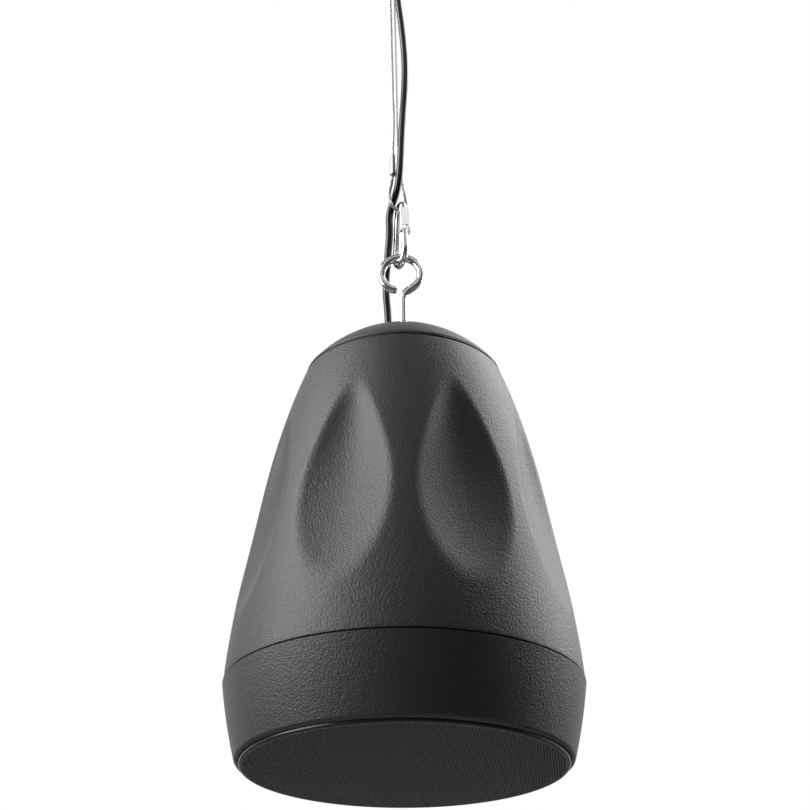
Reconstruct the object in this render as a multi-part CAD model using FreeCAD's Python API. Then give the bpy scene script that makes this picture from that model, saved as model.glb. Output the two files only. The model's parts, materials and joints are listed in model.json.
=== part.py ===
import FreeCAD, Part
import math
import os

from FreeCAD import Vector

# Pendant loudspeaker: a bell-shaped shell on a steel hook, sling and cable.
# Sizes are millimetres. The model is built with z = 0 at the seam between shell and skirt,
# on the speaker's own axis, and is moved to its ceiling fitting when it is written.

# Where the speaker hangs: the ceiling above the shell's top edge, and the axis beside the fitting
hang_height = 500.0
axis_offset = 9.9

# Shell
seam_radius = 139.2
neck_radius = 83.6
shell_height = 270.0
shell_wall = 3.0
shell_swell = 1.32
neck_share = 0.13
neck_power = 6
seam_gap = 0.8
edge_round = 0.6

# Teardrop hollows pressed into the shell
dimple_count = 8
dimple_bottom = 45.0
dimple_top = 220.0
dimple_depth = 12.5
dimple_half_width = 38.0
dimple_lean = 0.1
dimple_round = 0.83
dimple_point = 2.48

# Top deck of the shell and the cap
deck_thickness = 4.0
deck_drop = 8.0
cap_rise = 48.0
cap_round = 1.7
cap_shoulder = 1.25
cap_wall = 3.0
cap_flat_radius = 14.0
cap_lip_width = 3.8
cap_lip_overlap = 2.0
cap_pad_margin = 3.0
cap_gasket_thickness = 2.0

# Skirt, baffle panel and grille
skirt_proud = 0.8
skirt_height = 59.7
skirt_wall = 3.0
skirt_lean = 0.1255
skirt_bow = 0.0012
tongue_height = 5.0
tongue_wall = 3.0
tongue_root = 4.0
seam_gasket_inset = 1.4
tongue_clearance = 0.6
panel_depth = 44.0
panel_thickness = 4.0
rim_round = 2.5
grille_ledge_depth = 51.0
grille_ledge_thickness = 2.5
grille_ledge_width = 6.0
grille_rim_width = 2.4
grille_gap = 0.8
grille_proud = 2.8
grille_sheet = 1.0
grille_round = 1.6
cloth_thickness = 0.4
cloth_margin = 2.0

# Screws between skirt and shell
baffle_screw_count = 6
baffle_screw_inset = 17.2
baffle_screw_radius = 2.0
baffle_screw_grip = 16.0
baffle_head_radius = 3.8
baffle_head_height = 2.8
head_clearance = 0.7
post_radius = 7.0
post_web = 4.0
boss_radius = 6.0
boss_height = 26.0
boss_end_wall = 4.0
rib_thickness = 3.0
rib_clearance = 1.0
screw_clearance = 0.2

# Eye hook with a rolled thread
wire_radius = 3.6
ring_radius = 17.4
ring_rise = 110.0
ring_shift = -1.9
ring_start = -50.0
ring_end = 250.0
neck_bend = 12.0
shank_below_deck = 17.0
nut_flats = 13.0
nut_height = 6.5
jam_nut_height = 4.5
washer_radius = 10.0
washer_thickness = 1.6
seal_thickness = 1.5
seal_margin = 0.6
thread_gap = 0.02
load_plate_radius = 28.0
load_plate_thickness = 3.0
hole_clearance = 0.4

# Snap hook: a bent wire with a small upper bow and a large lower one
hook_wire = 3.25
hook_turn = 20.6
hook_top_bow = 6.75
hook_low_bow = 11.5
hook_shift = -2.1
hook_play = 0.3
hook_length = 70.0
gate_pivot_drop = 17.0
gate_length = 26.5
gate_above_pivot = 4.2
gate_wall = 1.1
gate_side_play = 0.35
gate_depth = 8.0
gate_mouth = 7.0
nose_lap = 1.8
rivet_radius = 1.4
rivet_play = 0.06
rivet_head_radius = 2.3
rivet_head = 0.8
rivet_end_play = 0.15

# Wire rope sling and its ferrule
rope_diameter = 3.2
ferrule_length = 22.3
ferrule_rise = 215.4
ferrule_width = 5.5
ferrule_depth = 8.0
ferrule_round = 1.2
ferrule_gap = 0.1
rope_lift = 0.3

# Ceiling fitting
plate_radius = 40.0
plate_thickness = 4.0
plate_hole_radius = 2.75
plate_hole_circle = 28.0
plate_edge_round = 1.0
countersink = 2.4
ceiling_wire = 3.0
ceiling_ring_radius = 11.0
ceiling_ring_turn = 21.6
stem_collar = 2.5
stem_collar_height = 3.0
grommet_wall = 2.0
grommet_flange = 1.5
grommet_lip = 1.5

# Speaker cable and its gland
cable_diameter = 6.6
cable_play = 0.05
gland_x = -13.0
gland_y = 17.0
gland_boss_radius = 10.5
gland_boss_drop = 5.0
gland_nut_room = 1.0
gland_flats = 15.6
gland_flange_height = 5.0
gland_dome_radius = 7.6
gland_dome_height = 7.85
gland_dome_taper = 2.2
gland_thread_radius = 6.0
gland_nut_height = 4.0
gland_thread_length = 10.0

# Route of the cable from just above the gland to the ceiling, with heights above the shell's top edge
cable_route = [
    (-13.0, 17.0, 75.0),
    (-15.6, 11.5, 102.0),
    (-14.0, 8.5, 130.0),
    (-11.8, 5.5, 158.0),
    (-12.8, 3.8, 179.0),
    (-4.6, -3.0, 199.0),
    (-2.2, -7.2, 222.0),
    (-0.6, -6.9, 270.0),
    (3.2, -6.2, 330.0),
    (0.9, -7.4, 380.0),
    (-5.4, -9.0, 435.0),
    (-6.6, -15.0, 472.0),
    (-6.6, -15.0, 500.0),
]

# Route of the sling, from inside the ferrule over the ceiling ring and round the snap hook,
# with heights above the shell's top edge
rope_route = [
    (-8.9, -3.5, 227.0),
    (-8.9, -3.5, 244.0),
    (-7.7, -3.6, 276.0),
    (-8.9, -3.7, 307.0),
    (-11.8, -4.7, 461.7),
    (-10.6, -1.9, 464.9),
    (-9.2, 1.9, 464.9),
    (-8.0, 4.7, 461.7),
    (-5.1, 3.2, 307.0),
    (-5.0, 2.6, 260.0),
    (-2.6, 2.6, 230.0),
    (0.3, 3.2, 206.0),
    (3.5, 3.0, 191.0),
    (3.2, 2.8, 178.75),
    (-9.6, -4.0, 178.75),
    (-13.2, -5.9, 192.0),
    (-8.9, -3.5, 212.0),
    (-8.9, -3.5, 226.0),
]

# Woofer
woofer_cutout = 72.0
frame_flange_radius = 82.5
frame_flange_inner = 66.0
frame_flange_thickness = 3.5
frame_gasket_thickness = 1.5
frame_wall = 2.0
frame_depth = 45.0
frame_back_radius = 44.0
frame_hole_margin = 4.0
frame_window_count = 6
frame_window_width = 34.0
frame_window_margin = 5.0
basket_radius = 62.0
cutout_clearance = 1.0
spider_ledge_depth = 32.0
spider_ledge_inner = 40.0
woofer_screw_count = 6
woofer_screw_circle = 77.0
woofer_screw_radius = 1.75
woofer_screw_length = 15.5
woofer_head_radius = 3.4
woofer_head_height = 2.2
woofer_boss_radius = 4.5
woofer_boss_height = 8.0
screw_end_gap = 0.5
coil_bore = 12.6
coil_wall = 0.4
winding_thickness = 0.7
winding_height = 10.0
former_overlap = 2.0
former_above_winding = 3.5
magnet_gap = 0.4
magnet_radius = 45.0
magnet_inner = 22.0
magnet_height = 16.0
pole_plate_height = 5.0
pole_plate_radius = 40.0
yoke_height = 5.0
cone_outer = 58.0
cone_thickness = 0.9
cone_seat = 1.2
cone_neck_drop = 4.0
cone_curve = 4.5
surround_thickness = 0.8
soft_gap = 0.3
spider_thickness = 0.8
spider_waves = 4
spider_wave_height = 2.0
tag_width = 12.0
tag_margin = 4.0
tag_drop = 1.0

# Coaxial tweeter on the pole
tweeter_radius = 17.0
tweeter_depth = 12.0
tweeter_front_gap = 6.0
tweeter_pocket = 6.0
tweeter_post_radius = 5.0
tweeter_post_seat = 12.0
dome_radius = 11.0
dome_height = 4.0
dome_thickness = 0.5
dome_seat_width = 1.5
waveguide_thickness = 2.0
waveguide_gap = 0.4
waveguide_flare = 1.8
waveguide_rim = 1.0

# Under the deck: transformer and crossover
transformer_shift = 3.8
core_width = 32.0
core_length = 48.0
core_height = 40.0
side_limb = 8.0
centre_limb = 12.0
winding_bulge = 6.0
bracket_sheet = 1.5
bracket_width = 12.0
bracket_ear = 10.0
small_screw_radius = 1.5
small_head_radius = 2.8
small_head_height = 2.0
board_width = 40.0
board_length = 60.0
board_thickness = 1.6
board_spacer = 10.0
board_inset = 4.0
spacer_radius = 3.0
choke_radius = 13.0
choke_bore = 5.0
choke_height = 12.0
choke_y = 6.0
capacitor_radius = 5.5
capacitor_length = 20.0
capacitor_y = -14.0
small_capacitor_radius = 4.5
small_capacitor_height = 16.0
small_capacitor_places = [(-15.0, 16.5), (-15.0, -5.5)]
resistor_size = (4.0, 22.0, 8.0)
resistor_inset = 4.0
connector_size = (14.0, 8.0, 8.0)
terminal_size = (18.0, 36.0, 14.0)
terminal_inset = 33.6
terminal_y = 10.0
terminal_pitch = 9.0
terminal_ways = 4
terminal_hole_radius = 2.2
terminal_hole_depth = 4.0
terminal_hole_inset = 3.5
terminal_floor = 6.0
terminal_screw_length = 9.0
lead_diameter = 5.0
lead_bend = 14.0
lead_tight_bend = 6.0
lead_reach = 20.0
deck_grommet_gap = 17.0
tube_run_margin = 0.9

# Wadding that lines the shell
wadding_bottom = 60.0
wadding_top = 205.0
wadding_thickness = 12.0
wadding_gap = 0.5

UP = Vector(0, 0, 1)
SIDE_POINTS = 13
pieces = {}


def keep(name, shape):
    """Store one finished piece under its name."""
    pieces[name] = shape


def ring(outer, inner, low, high, x=0.0, y=0.0):
    """Flat ring or tube with a vertical axis."""
    body = Part.makeCylinder(outer, high - low, Vector(x, y, low))
    return body.cut(Part.makeCylinder(inner, high - low, Vector(x, y, low)))


def disc(radius, low, high, x=0.0, y=0.0):
    return Part.makeCylinder(radius, high - low, Vector(x, y, low))


def block(x, y, low, size):
    """Box centred on x and y, standing on low."""
    return Part.makeBox(size[0], size[1], size[2], Vector(x - size[0] / 2, y - size[1] / 2, low))


def at(radius, height):
    return Vector(radius, 0, height)


def line(start, end):
    return Part.LineSegment(start, end).toShape()


def curve(points):
    spline = Part.BSplineCurve()
    spline.interpolate(points)
    return spline.toShape()


def lathe(edges):
    """Turn a closed chain of edges about the axis."""
    return Part.Face(Part.Wire(edges)).revolve(Vector(0, 0, 0), UP, 360)


def turned(outline):
    """Turn a closed polygon of (radius, height) points about the axis."""
    points = [at(radius, height) for radius, height in outline]
    return lathe([line(a, b) for a, b in zip(points, points[1:] + points[:1])])


def around(shape, count, start=0.0):
    """Copies of a shape spread evenly about the axis."""
    copies = []
    for number in range(count):
        copy = shape.copy()
        copy.rotate(Vector(0, 0, 0), UP, start + 360.0 / count * number)
        copies.append(copy)
    return copies


def hexagon(flats, low, high):
    corner = flats / 2 / math.cos(math.radians(30))
    points = []
    for number in range(7):
        angle = math.radians(60 * number)
        points.append(Vector(corner * math.cos(angle), corner * math.sin(angle), low))
    return Part.Face(Part.makePolygon(points)).extrude(Vector(0, 0, high - low))


def screw(x, y, head_face, direction, radius, length, head_radius, head_height):
    """Screw whose head starts at head_face; direction +1 points the shank up, -1 down."""
    axis = Vector(0, 0, direction)
    head = Part.makeCylinder(head_radius, head_height, Vector(x, y, head_face), axis)
    drive = Part.makeCylinder(head_radius * 0.4, head_height * 0.5, Vector(x, y, head_face), axis)
    shank_start = Vector(x, y, head_face + direction * head_height)
    shank = Part.makeCylinder(radius, length, shank_start, axis)
    return head.cut(drive).fuse(shank)


def tube_path(points, radii=None):
    """Straight runs joined by tangent arcs. Each arc takes 0.45 of its shorter run, or has a given
    radius where its shorter run leaves room for that."""
    nodes = [Vector(*point) for point in points]
    edges = []
    bends = []
    start = nodes[0]
    for number in range(1, len(nodes) - 1):
        before = nodes[number] - nodes[number - 1]
        after = nodes[number + 1] - nodes[number]
        turn = before.getAngle(after)
        reach = 0.45 * min(before.Length, after.Length)
        if radii and radii.get(number):
            reach = min(radii[number] * math.tan(turn / 2),
                        tube_run_margin * min(before.Length, after.Length))
        bends.append(reach / math.tan(turn / 2))
        before.normalize()
        after.normalize()
        first = nodes[number] - before * reach
        last = nodes[number] + after * reach
        inward = after - before
        inward.normalize()
        centre_reach = bends[-1] / math.cos(turn / 2)
        middle = nodes[number] + inward * (centre_reach - bends[-1])
        edges.append(line(start, first))
        edges.append(Part.Arc(first, middle, last).toShape())
        start = last
    edges.append(line(start, nodes[-1]))
    return Part.Wire(edges), bends


def tube(points, diameter, radii=None, name=None):
    """Round tube along a path of runs and arcs."""
    path, bends = tube_path(points, radii)
    start = Vector(*points[0])
    heading = Vector(*points[1]) - start
    section = Part.Wire([Part.Circle(start, heading, diameter / 2).toShape()])
    body = path.makePipeShell([section], True, False)
    if name:
        expected = math.pi * diameter ** 2 / 4 * path.Length
        print(name, "length", round(path.Length, 1), "volume ratio", round(body.Volume / expected, 4))
        print(name, "bend radii", [round(bend, 1) for bend in bends])
    return body


# Outline of the shell and skirt


def shell_radius(height):
    """Outer radius. A low power of height makes the slope and a high one draws in the neck."""
    part = max(height, 0) / shell_height
    fall = (1 - neck_share) * part ** shell_swell + neck_share * part ** neck_power
    return seam_radius - (seam_radius - neck_radius) * fall


def skirt_outer(depth):
    """Outer radius of the skirt at a depth below the seam."""
    return skirt_radius - skirt_lean * depth - skirt_bow * depth ** 2


def cap_height(radius):
    """Height of the cap above its edge: a superellipse with a soft shoulder."""
    share = min(1.0, radius / neck_radius)
    return cap_rise * (1 - share ** cap_round) ** (1 / cap_shoulder)


ceiling_to_seam = shell_height + hang_height
skirt_radius = seam_radius + skirt_proud
baffle_screw_circle = seam_radius - baffle_screw_inset
ring_height = shell_height + ring_rise
ferrule_low = shell_height + ferrule_rise
deck_top = shell_height - deck_drop
deck_low = deck_top - deck_thickness
cap_top = shell_height + cap_height(cap_flat_radius)
transformer_x = (load_plate_radius + neck_radius) / 2 - transformer_shift
terminal_x = terminal_inset - neck_radius
board_x = terminal_x
deck_grommet_y = terminal_y + terminal_size[1] / 2 + deck_grommet_gap
gland_flange_top = cap_top + gland_flange_height
gland_top = gland_flange_top + gland_dome_height
panel_low = -panel_depth
panel_top = panel_low + panel_thickness
rim_radius = skirt_outer(skirt_height)
grille_seat_low = -grille_ledge_depth - grille_ledge_thickness
grille_opening = rim_radius - grille_rim_width
grille_radius = grille_opening - grille_gap
grille_face = -skirt_height - grille_proud

# Heights and radii inside the loudspeaker
flange_top = panel_low - frame_gasket_thickness
flange_low = flange_top - frame_flange_thickness
frame_back = flange_top + frame_depth
ledge_z = flange_top + spider_ledge_depth
pole_plate_top = frame_back + pole_plate_height
magnet_top = pole_plate_top + magnet_height
yoke_top = magnet_top + yoke_height
former_outer = coil_bore + coil_wall
winding_outer = former_outer + winding_thickness
pole_radius = coil_bore - magnet_gap
cone_edge = flange_low + cone_seat
cone_neck = ledge_z - cone_neck_drop
tag_top = frame_back - tag_drop


def shell_side(low, high, inset):
    """Curve of the shell's side between two heights, moved inward by inset."""
    points = []
    for number in range(SIDE_POINTS):
        height = low + (high - low) * number / (SIDE_POINTS - 1)
        points.append(at(shell_radius(height) - inset, height))
    return curve(points)


def shell_solid(low, high, inset):
    """Solid of revolution inside the shell's side."""
    return lathe([
        line(at(0, low), at(shell_radius(low) - inset, low)),
        shell_side(low, high, inset),
        line(at(shell_radius(high) - inset, high), at(0, high)),
        line(at(0, high), at(0, low)),
    ])


def rounded_shell_solid(low, high):
    """Outer form of the shell with both rims rounded."""
    corner = edge_round * (1 - math.sqrt(0.5))
    bottom = shell_radius(low)
    top = shell_radius(high)
    side_low = low + edge_round
    side_high = high - edge_round
    return lathe([
        line(at(0, low), at(bottom - edge_round, low)),
        Part.Arc(at(bottom - edge_round, low), at(bottom - corner, low + corner),
                 at(shell_radius(side_low), side_low)).toShape(),
        shell_side(side_low, side_high, 0),
        Part.Arc(at(shell_radius(side_high), side_high), at(top - corner, high - corner),
                 at(top - edge_round, high)).toShape(),
        line(at(top - edge_round, high), at(0, high)),
        line(at(0, high), at(0, low)),
    ])


def dimple_floor(height):
    """Depth of a hollow on its middle line, and how far along the hollow this height is."""
    part = (height - dimple_bottom) / (dimple_top - dimple_bottom)
    return 4 * dimple_depth * part * (1 - part) * (1 - dimple_lean * part), part


def dimple_tool(inset):
    """Cutter for one hollow. Its face lies below the shell by a depth that falls off with the
    square of the distance from the hollow's middle line, so it meets the shell in a teardrop."""
    rows = []
    for row in range(15):
        along = -0.10 + 1.17 * row / 14
        height = dimple_bottom + along * (dimple_top - dimple_bottom)
        depth, part = dimple_floor(height)
        fall_off = dimple_depth / dimple_half_width ** 2 * (dimple_round + dimple_point * part ** 4)
        reach = dimple_half_width * (1.35 - 0.9 * part ** 2)
        points = []
        for column in range(9):
            across = reach * (column / 4 - 1)
            radius = shell_radius(height)
            angle = across / radius
            surface = radius - depth + fall_off * across ** 2 - inset
            points.append(Vector(surface * math.sin(angle), -surface * math.cos(angle), height))
        rows.append(points)
    face = Part.BSplineSurface()
    face.interpolate(rows)
    return face.toShape().extrude(Vector(0, -3 * dimple_half_width, 0))


def press_dimples(solid, inset):
    tool = dimple_tool(inset)
    if not tool.isValid() or tool.Volume < 0:
        tool = tool.reversed()
    return solid.cut(around(tool, dimple_count, 180.0 / dimple_count))


# Shell, cap and skirt


def make_shell():
    low = seam_gap / 4
    outside = rounded_shell_solid(low, shell_height - seam_gap / 2)
    inside = shell_solid(low - 1, deck_low, shell_wall)
    shell = press_dimples(outside, 0).cut(press_dimples(inside, shell_wall))
    shell = shell.cut(disc(shell_radius(deck_top) - shell_wall, deck_top, shell_height))
    between = 180.0 / baffle_screw_count
    boss = disc(boss_radius, low, low + boss_height, baffle_screw_circle)
    rib_low = low + tongue_height + rib_clearance
    rib = Part.makeBox(seam_radius - baffle_screw_circle, rib_thickness, low + boss_height - rib_low,
                       Vector(baffle_screw_circle, -rib_thickness / 2, rib_low))
    limit = shell_solid(low, deck_low, shell_wall / 2)
    shell = shell.fuse(around(boss.fuse(rib.common(limit)), baffle_screw_count, between))
    pilot = disc(baffle_screw_radius, low, low + boss_height - boss_end_wall, baffle_screw_circle)
    shell = shell.cut(around(pilot, baffle_screw_count, between))
    shell = shell.cut(disc(wire_radius + hole_clearance, deck_low, deck_top))
    shell = shell.cut(disc(lead_diameter / 2 + grommet_wall, deck_low, deck_top, terminal_x, deck_grommet_y))
    for x, y in transformer_ears() + board_corners() + terminal_screw_places():
        shell = shell.cut(disc(small_screw_radius, deck_low, deck_top, x, y))
    keep("rear_housing", shell.removeSplitter())

    gasket_inner = seam_radius - shell_wall - tongue_clearance
    keep("housing_gasket", ring(seam_radius - seam_gasket_inset, gasket_inner, low - seam_gap, low))

    loose = []
    for step in range(6):
        height = wadding_bottom + (wadding_top - wadding_bottom) * step / 5
        depth, part = dimple_floor(height)
        radius = shell_radius(height) - shell_wall - depth - wadding_gap
        loose.append((radius, height))
    outside = curve([at(radius, height) for radius, height in loose])
    inside = curve([at(radius - wadding_thickness, height) for radius, height in reversed(loose)])
    first = loose[0]
    last = loose[-1]
    keep("damping_wadding", lathe([
        outside,
        line(at(*last), at(last[0] - wadding_thickness, last[1])),
        inside,
        line(at(first[0] - wadding_thickness, first[1]), at(*first)),
    ]))


def cap_outline(edge_radius, edge_height, thickness):
    """Cap's outer curve, or its inner one when a thickness is given, from the edge inwards."""
    points = [at(edge_radius, edge_height)]
    for number in range(1, 11):
        along = math.cos(math.radians(9 * number))
        radius = cap_flat_radius + (neck_radius - cap_flat_radius) * along
        height = cap_height(radius) * (1 - thickness / cap_rise)
        points.append(at(radius * edge_radius / neck_radius, shell_height + height))
    return points


def cap_solid(points):
    low = points[0].z
    top = points[-1].z
    return lathe([
        line(at(0, low), points[0]),
        curve(points),
        line(points[-1], at(0, top)),
        line(at(0, top), at(0, low)),
    ])


def make_cap():
    low = shell_height + seam_gap / 2
    outside = cap_solid(cap_outline(neck_radius, low, 0))
    inside = cap_solid(cap_outline(neck_radius - cap_wall, low, cap_wall))
    boss = disc(gland_boss_radius, cap_top - gland_boss_drop, cap_top, gland_x, gland_y)
    pad = disc(washer_radius + cap_pad_margin, cap_top - gland_boss_drop, cap_top)
    cap = outside.cut(inside).fuse([boss, pad])
    cap = cap.cut(disc(gland_boss_radius + gland_nut_room, deck_top, cap_top - gland_boss_drop,
                       gland_x, gland_y))
    lip_outer = shell_radius(deck_top) - shell_wall - tongue_clearance
    lip_low = deck_top + cap_gasket_thickness
    lip = ring(lip_outer, lip_outer - cap_lip_width, lip_low, low + cap_lip_overlap)
    cap = cap.fuse(lip)
    cap = cap.cut(disc(wire_radius + hole_clearance, deck_top, cap_top))
    cap = cap.cut(disc(gland_thread_radius + screw_clearance, deck_top, cap_top, gland_x, gland_y))
    keep("top_cap", cap.removeSplitter())
    keep("cap_gasket", ring(lip_outer, lip_outer - cap_lip_width, deck_top, lip_low))


def make_skirt():
    top = -seam_gap * 0.75
    points = []
    for number in range(7):
        depth = -top + (skirt_height - rim_round + top) * number / 6
        points.append(at(skirt_outer(depth), -depth))
    corner = points[-1]
    rim_low = -skirt_height
    round_share = 1 - math.sqrt(0.5)
    arc_end = at(rim_radius - rim_round, rim_low)
    arc_mid = at(rim_radius - rim_round * round_share, rim_low + rim_round * round_share)
    side = curve(points)
    outside = lathe([
        line(at(0, top), points[0]),
        side,
        Part.Arc(corner, arc_mid, arc_end).toShape(),
        line(arc_end, at(0, rim_low)),
        line(at(0, rim_low), at(0, top)),
    ])
    upper = []
    for number in range(5):
        depth = (-panel_top) * number / 4
        upper.append(at(skirt_outer(depth) - skirt_wall, -depth))
    upper_room = lathe([
        line(at(0, 1), at(upper[0].x, 1)),
        line(at(upper[0].x, 1), upper[0]),
        curve(upper),
        line(upper[-1], at(0, panel_top)),
        line(at(0, panel_top), at(0, 1)),
    ])
    ledge_low = grille_seat_low
    lower_wall = skirt_outer(grille_ledge_depth) - skirt_wall
    lower_room = turned([
        (0, panel_low),
        (lower_wall, panel_low),
        (lower_wall, -grille_ledge_depth),
        (grille_opening - grille_ledge_width, -grille_ledge_depth),
        (grille_opening - grille_ledge_width, ledge_low),
        (grille_opening, ledge_low),
        (grille_opening, rim_low - 1),
        (0, rim_low - 1),
    ])
    skirt = outside.cut([upper_room, lower_room])
    tongue_outer = seam_radius - shell_wall - tongue_clearance
    tongue = ring(tongue_outer, tongue_outer - tongue_wall, top - tongue_root, seam_gap / 4 + tongue_height)
    root = ring(skirt_radius - skirt_wall / 2, tongue_outer - tongue_wall, top - tongue_root, top)
    skirt = skirt.fuse([tongue, root])
    web_low = top - post_web
    between = 180.0 / baffle_screw_count
    posts = around(disc(post_radius, panel_top, seam_gap / 4, baffle_screw_circle), baffle_screw_count, between)
    bosses = around(disc(woofer_boss_radius, panel_top, panel_top + woofer_boss_height, woofer_screw_circle),
                    woofer_screw_count)
    skirt = skirt.fuse(posts + bosses)
    bore = disc(baffle_head_radius + head_clearance, grille_seat_low, web_low, baffle_screw_circle)
    clear = disc(baffle_screw_radius + screw_clearance, web_low, seam_gap / 4, baffle_screw_circle)
    skirt = skirt.cut(around(bore.fuse(clear), baffle_screw_count, between))
    skirt = skirt.cut(disc(woofer_cutout, panel_low, panel_top))
    pilot_top = flange_low + woofer_screw_length + screw_end_gap
    pilot = disc(woofer_screw_radius, panel_low, pilot_top, woofer_screw_circle)
    skirt = skirt.cut(around(pilot, woofer_screw_count))
    keep("baffle_skirt", skirt.removeSplitter())

    one = screw(baffle_screw_circle, 0, web_low - baffle_head_height, 1, baffle_screw_radius,
                post_web + baffle_screw_grip, baffle_head_radius, baffle_head_height)
    keep("baffle_screws", Part.makeCompound(around(one, baffle_screw_count, between)))

    rim_top = grille_seat_low
    pan_outer = grille_radius
    inner = pan_outer - grille_sheet
    round_in = grille_round - grille_sheet
    outer_mid = at(pan_outer - grille_round * round_share, grille_face + grille_round * round_share)
    inner_mid = at(inner - round_in * round_share, grille_face + grille_sheet + round_in * round_share)
    keep("grille", lathe([
        line(at(0, grille_face), at(pan_outer - grille_round, grille_face)),
        Part.Arc(at(pan_outer - grille_round, grille_face), outer_mid,
                 at(pan_outer, grille_face + grille_round)).toShape(),
        line(at(pan_outer, grille_face + grille_round), at(pan_outer, rim_top)),
        line(at(pan_outer, rim_top), at(inner, rim_top)),
        line(at(inner, rim_top), at(inner, grille_face + grille_round)),
        Part.Arc(at(inner, grille_face + grille_round), inner_mid,
                 at(inner - round_in, grille_face + grille_sheet)).toShape(),
        line(at(inner - round_in, grille_face + grille_sheet), at(0, grille_face + grille_sheet)),
        line(at(0, grille_face + grille_sheet), at(0, grille_face)),
    ]))
    cloth_low = grille_face + grille_sheet
    keep("grille_cloth", disc(inner - cloth_margin, cloth_low, cloth_low + cloth_thickness))


# Eye hook and what carries it


def make_eye_hook():
    shank_low = deck_low - load_plate_thickness - shank_below_deck + washer_thickness
    centre = Vector(ring_shift, 0, ring_height)
    start_angle = math.radians(ring_start)
    end_angle = math.radians(ring_end)
    middle_angle = (start_angle + end_angle) / 2

    def on_ring(angle):
        return centre + Vector(math.cos(angle), 0, math.sin(angle)) * ring_radius

    start = on_ring(start_angle)
    lean = math.radians(90 + ring_start)
    turn = math.pi / 2 - lean
    bend_x = neck_bend * (1 - math.cos(turn))
    straight = (start.x - bend_x) / math.cos(lean)
    bend_end = Vector(bend_x, 0, start.z - straight * math.sin(lean))
    bend_low = Vector(0, 0, bend_end.z - neck_bend * math.sin(turn))
    half = turn / 2
    bend_mid = Vector(neck_bend * (1 - math.cos(half)), 0, bend_low.z + neck_bend * math.sin(half))
    path = Part.Wire([
        line(Vector(0, 0, shank_low), bend_low),
        Part.Arc(bend_low, bend_mid, bend_end).toShape(),
        line(bend_end, start),
        Part.Arc(start, on_ring(middle_angle), on_ring(end_angle)).toShape(),
    ])
    section = Part.Wire([Part.Circle(Vector(0, 0, shank_low), UP, wire_radius).toShape()])
    hook = path.makePipeShell([section], True, False)
    hook = hook.fuse(Part.makeSphere(wire_radius, on_ring(end_angle)))
    keep("eye_hook", hook.removeSplitter())

    bore = wire_radius + thread_gap
    seal_top = cap_top + seal_thickness
    keep("cap_seal", ring(washer_radius + seal_margin, bore, cap_top, seal_top))
    washer_top = seal_top + washer_thickness
    keep("cap_washer", ring(washer_radius, bore, seal_top, washer_top))
    nut_top = washer_top + jam_nut_height
    keep("cap_nut", hexagon(nut_flats, washer_top, nut_top).cut(disc(bore, washer_top, nut_top)))

    upper_washer = ring(washer_radius, bore, deck_top, deck_top + washer_thickness)
    plate_low = deck_low - load_plate_thickness
    keep("load_plate", ring(load_plate_radius, bore, plate_low, deck_low))
    lower_washer = ring(washer_radius, bore, plate_low - washer_thickness, plate_low)
    keep("deck_washers", Part.makeCompound([upper_washer, lower_washer]))
    upper_low = deck_top + washer_thickness
    lower_top = plate_low - washer_thickness
    upper_nut = hexagon(nut_flats, upper_low, upper_low + nut_height)
    lower_nut = hexagon(nut_flats, lower_top - nut_height, lower_top)
    shaft = disc(bore, shank_low, cap_top)
    keep("deck_nuts", Part.makeCompound([upper_nut.cut(shaft), lower_nut.cut(shaft)]))


# Snap hook. Its own plane is turned from the line of sight: reach runs towards the gate.

hook_low_inside = ring_height + ring_radius - wire_radius - hook_play
hook_bottom = hook_low_inside - 2 * hook_wire
hook_low_centre = hook_bottom + hook_wire + hook_low_bow
hook_top_centre = hook_bottom + hook_length - hook_wire - hook_top_bow
hook_lean = math.asin((hook_low_bow - hook_top_bow) / (hook_top_centre - hook_low_centre))
hook_reach = Vector(math.sin(math.radians(hook_turn)), -math.cos(math.radians(hook_turn)), 0)
hook_pivot_z = hook_bottom + hook_length - gate_pivot_drop
nose_z = hook_pivot_z + gate_above_pivot - gate_length + nose_lap


def in_hook(reach, height):
    return Vector(hook_shift, 0, height) + hook_reach * reach


def bow_point(centre, radius, degrees):
    angle = math.radians(degrees)
    return in_hook(radius * math.cos(angle), centre + radius * math.sin(angle))


def leg_reach(height):
    """Reach of the straight leg, which touches both bows, at a given height."""
    rise = height - hook_low_centre
    return (hook_low_bow - rise * math.sin(hook_lean)) / math.cos(hook_lean)


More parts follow.
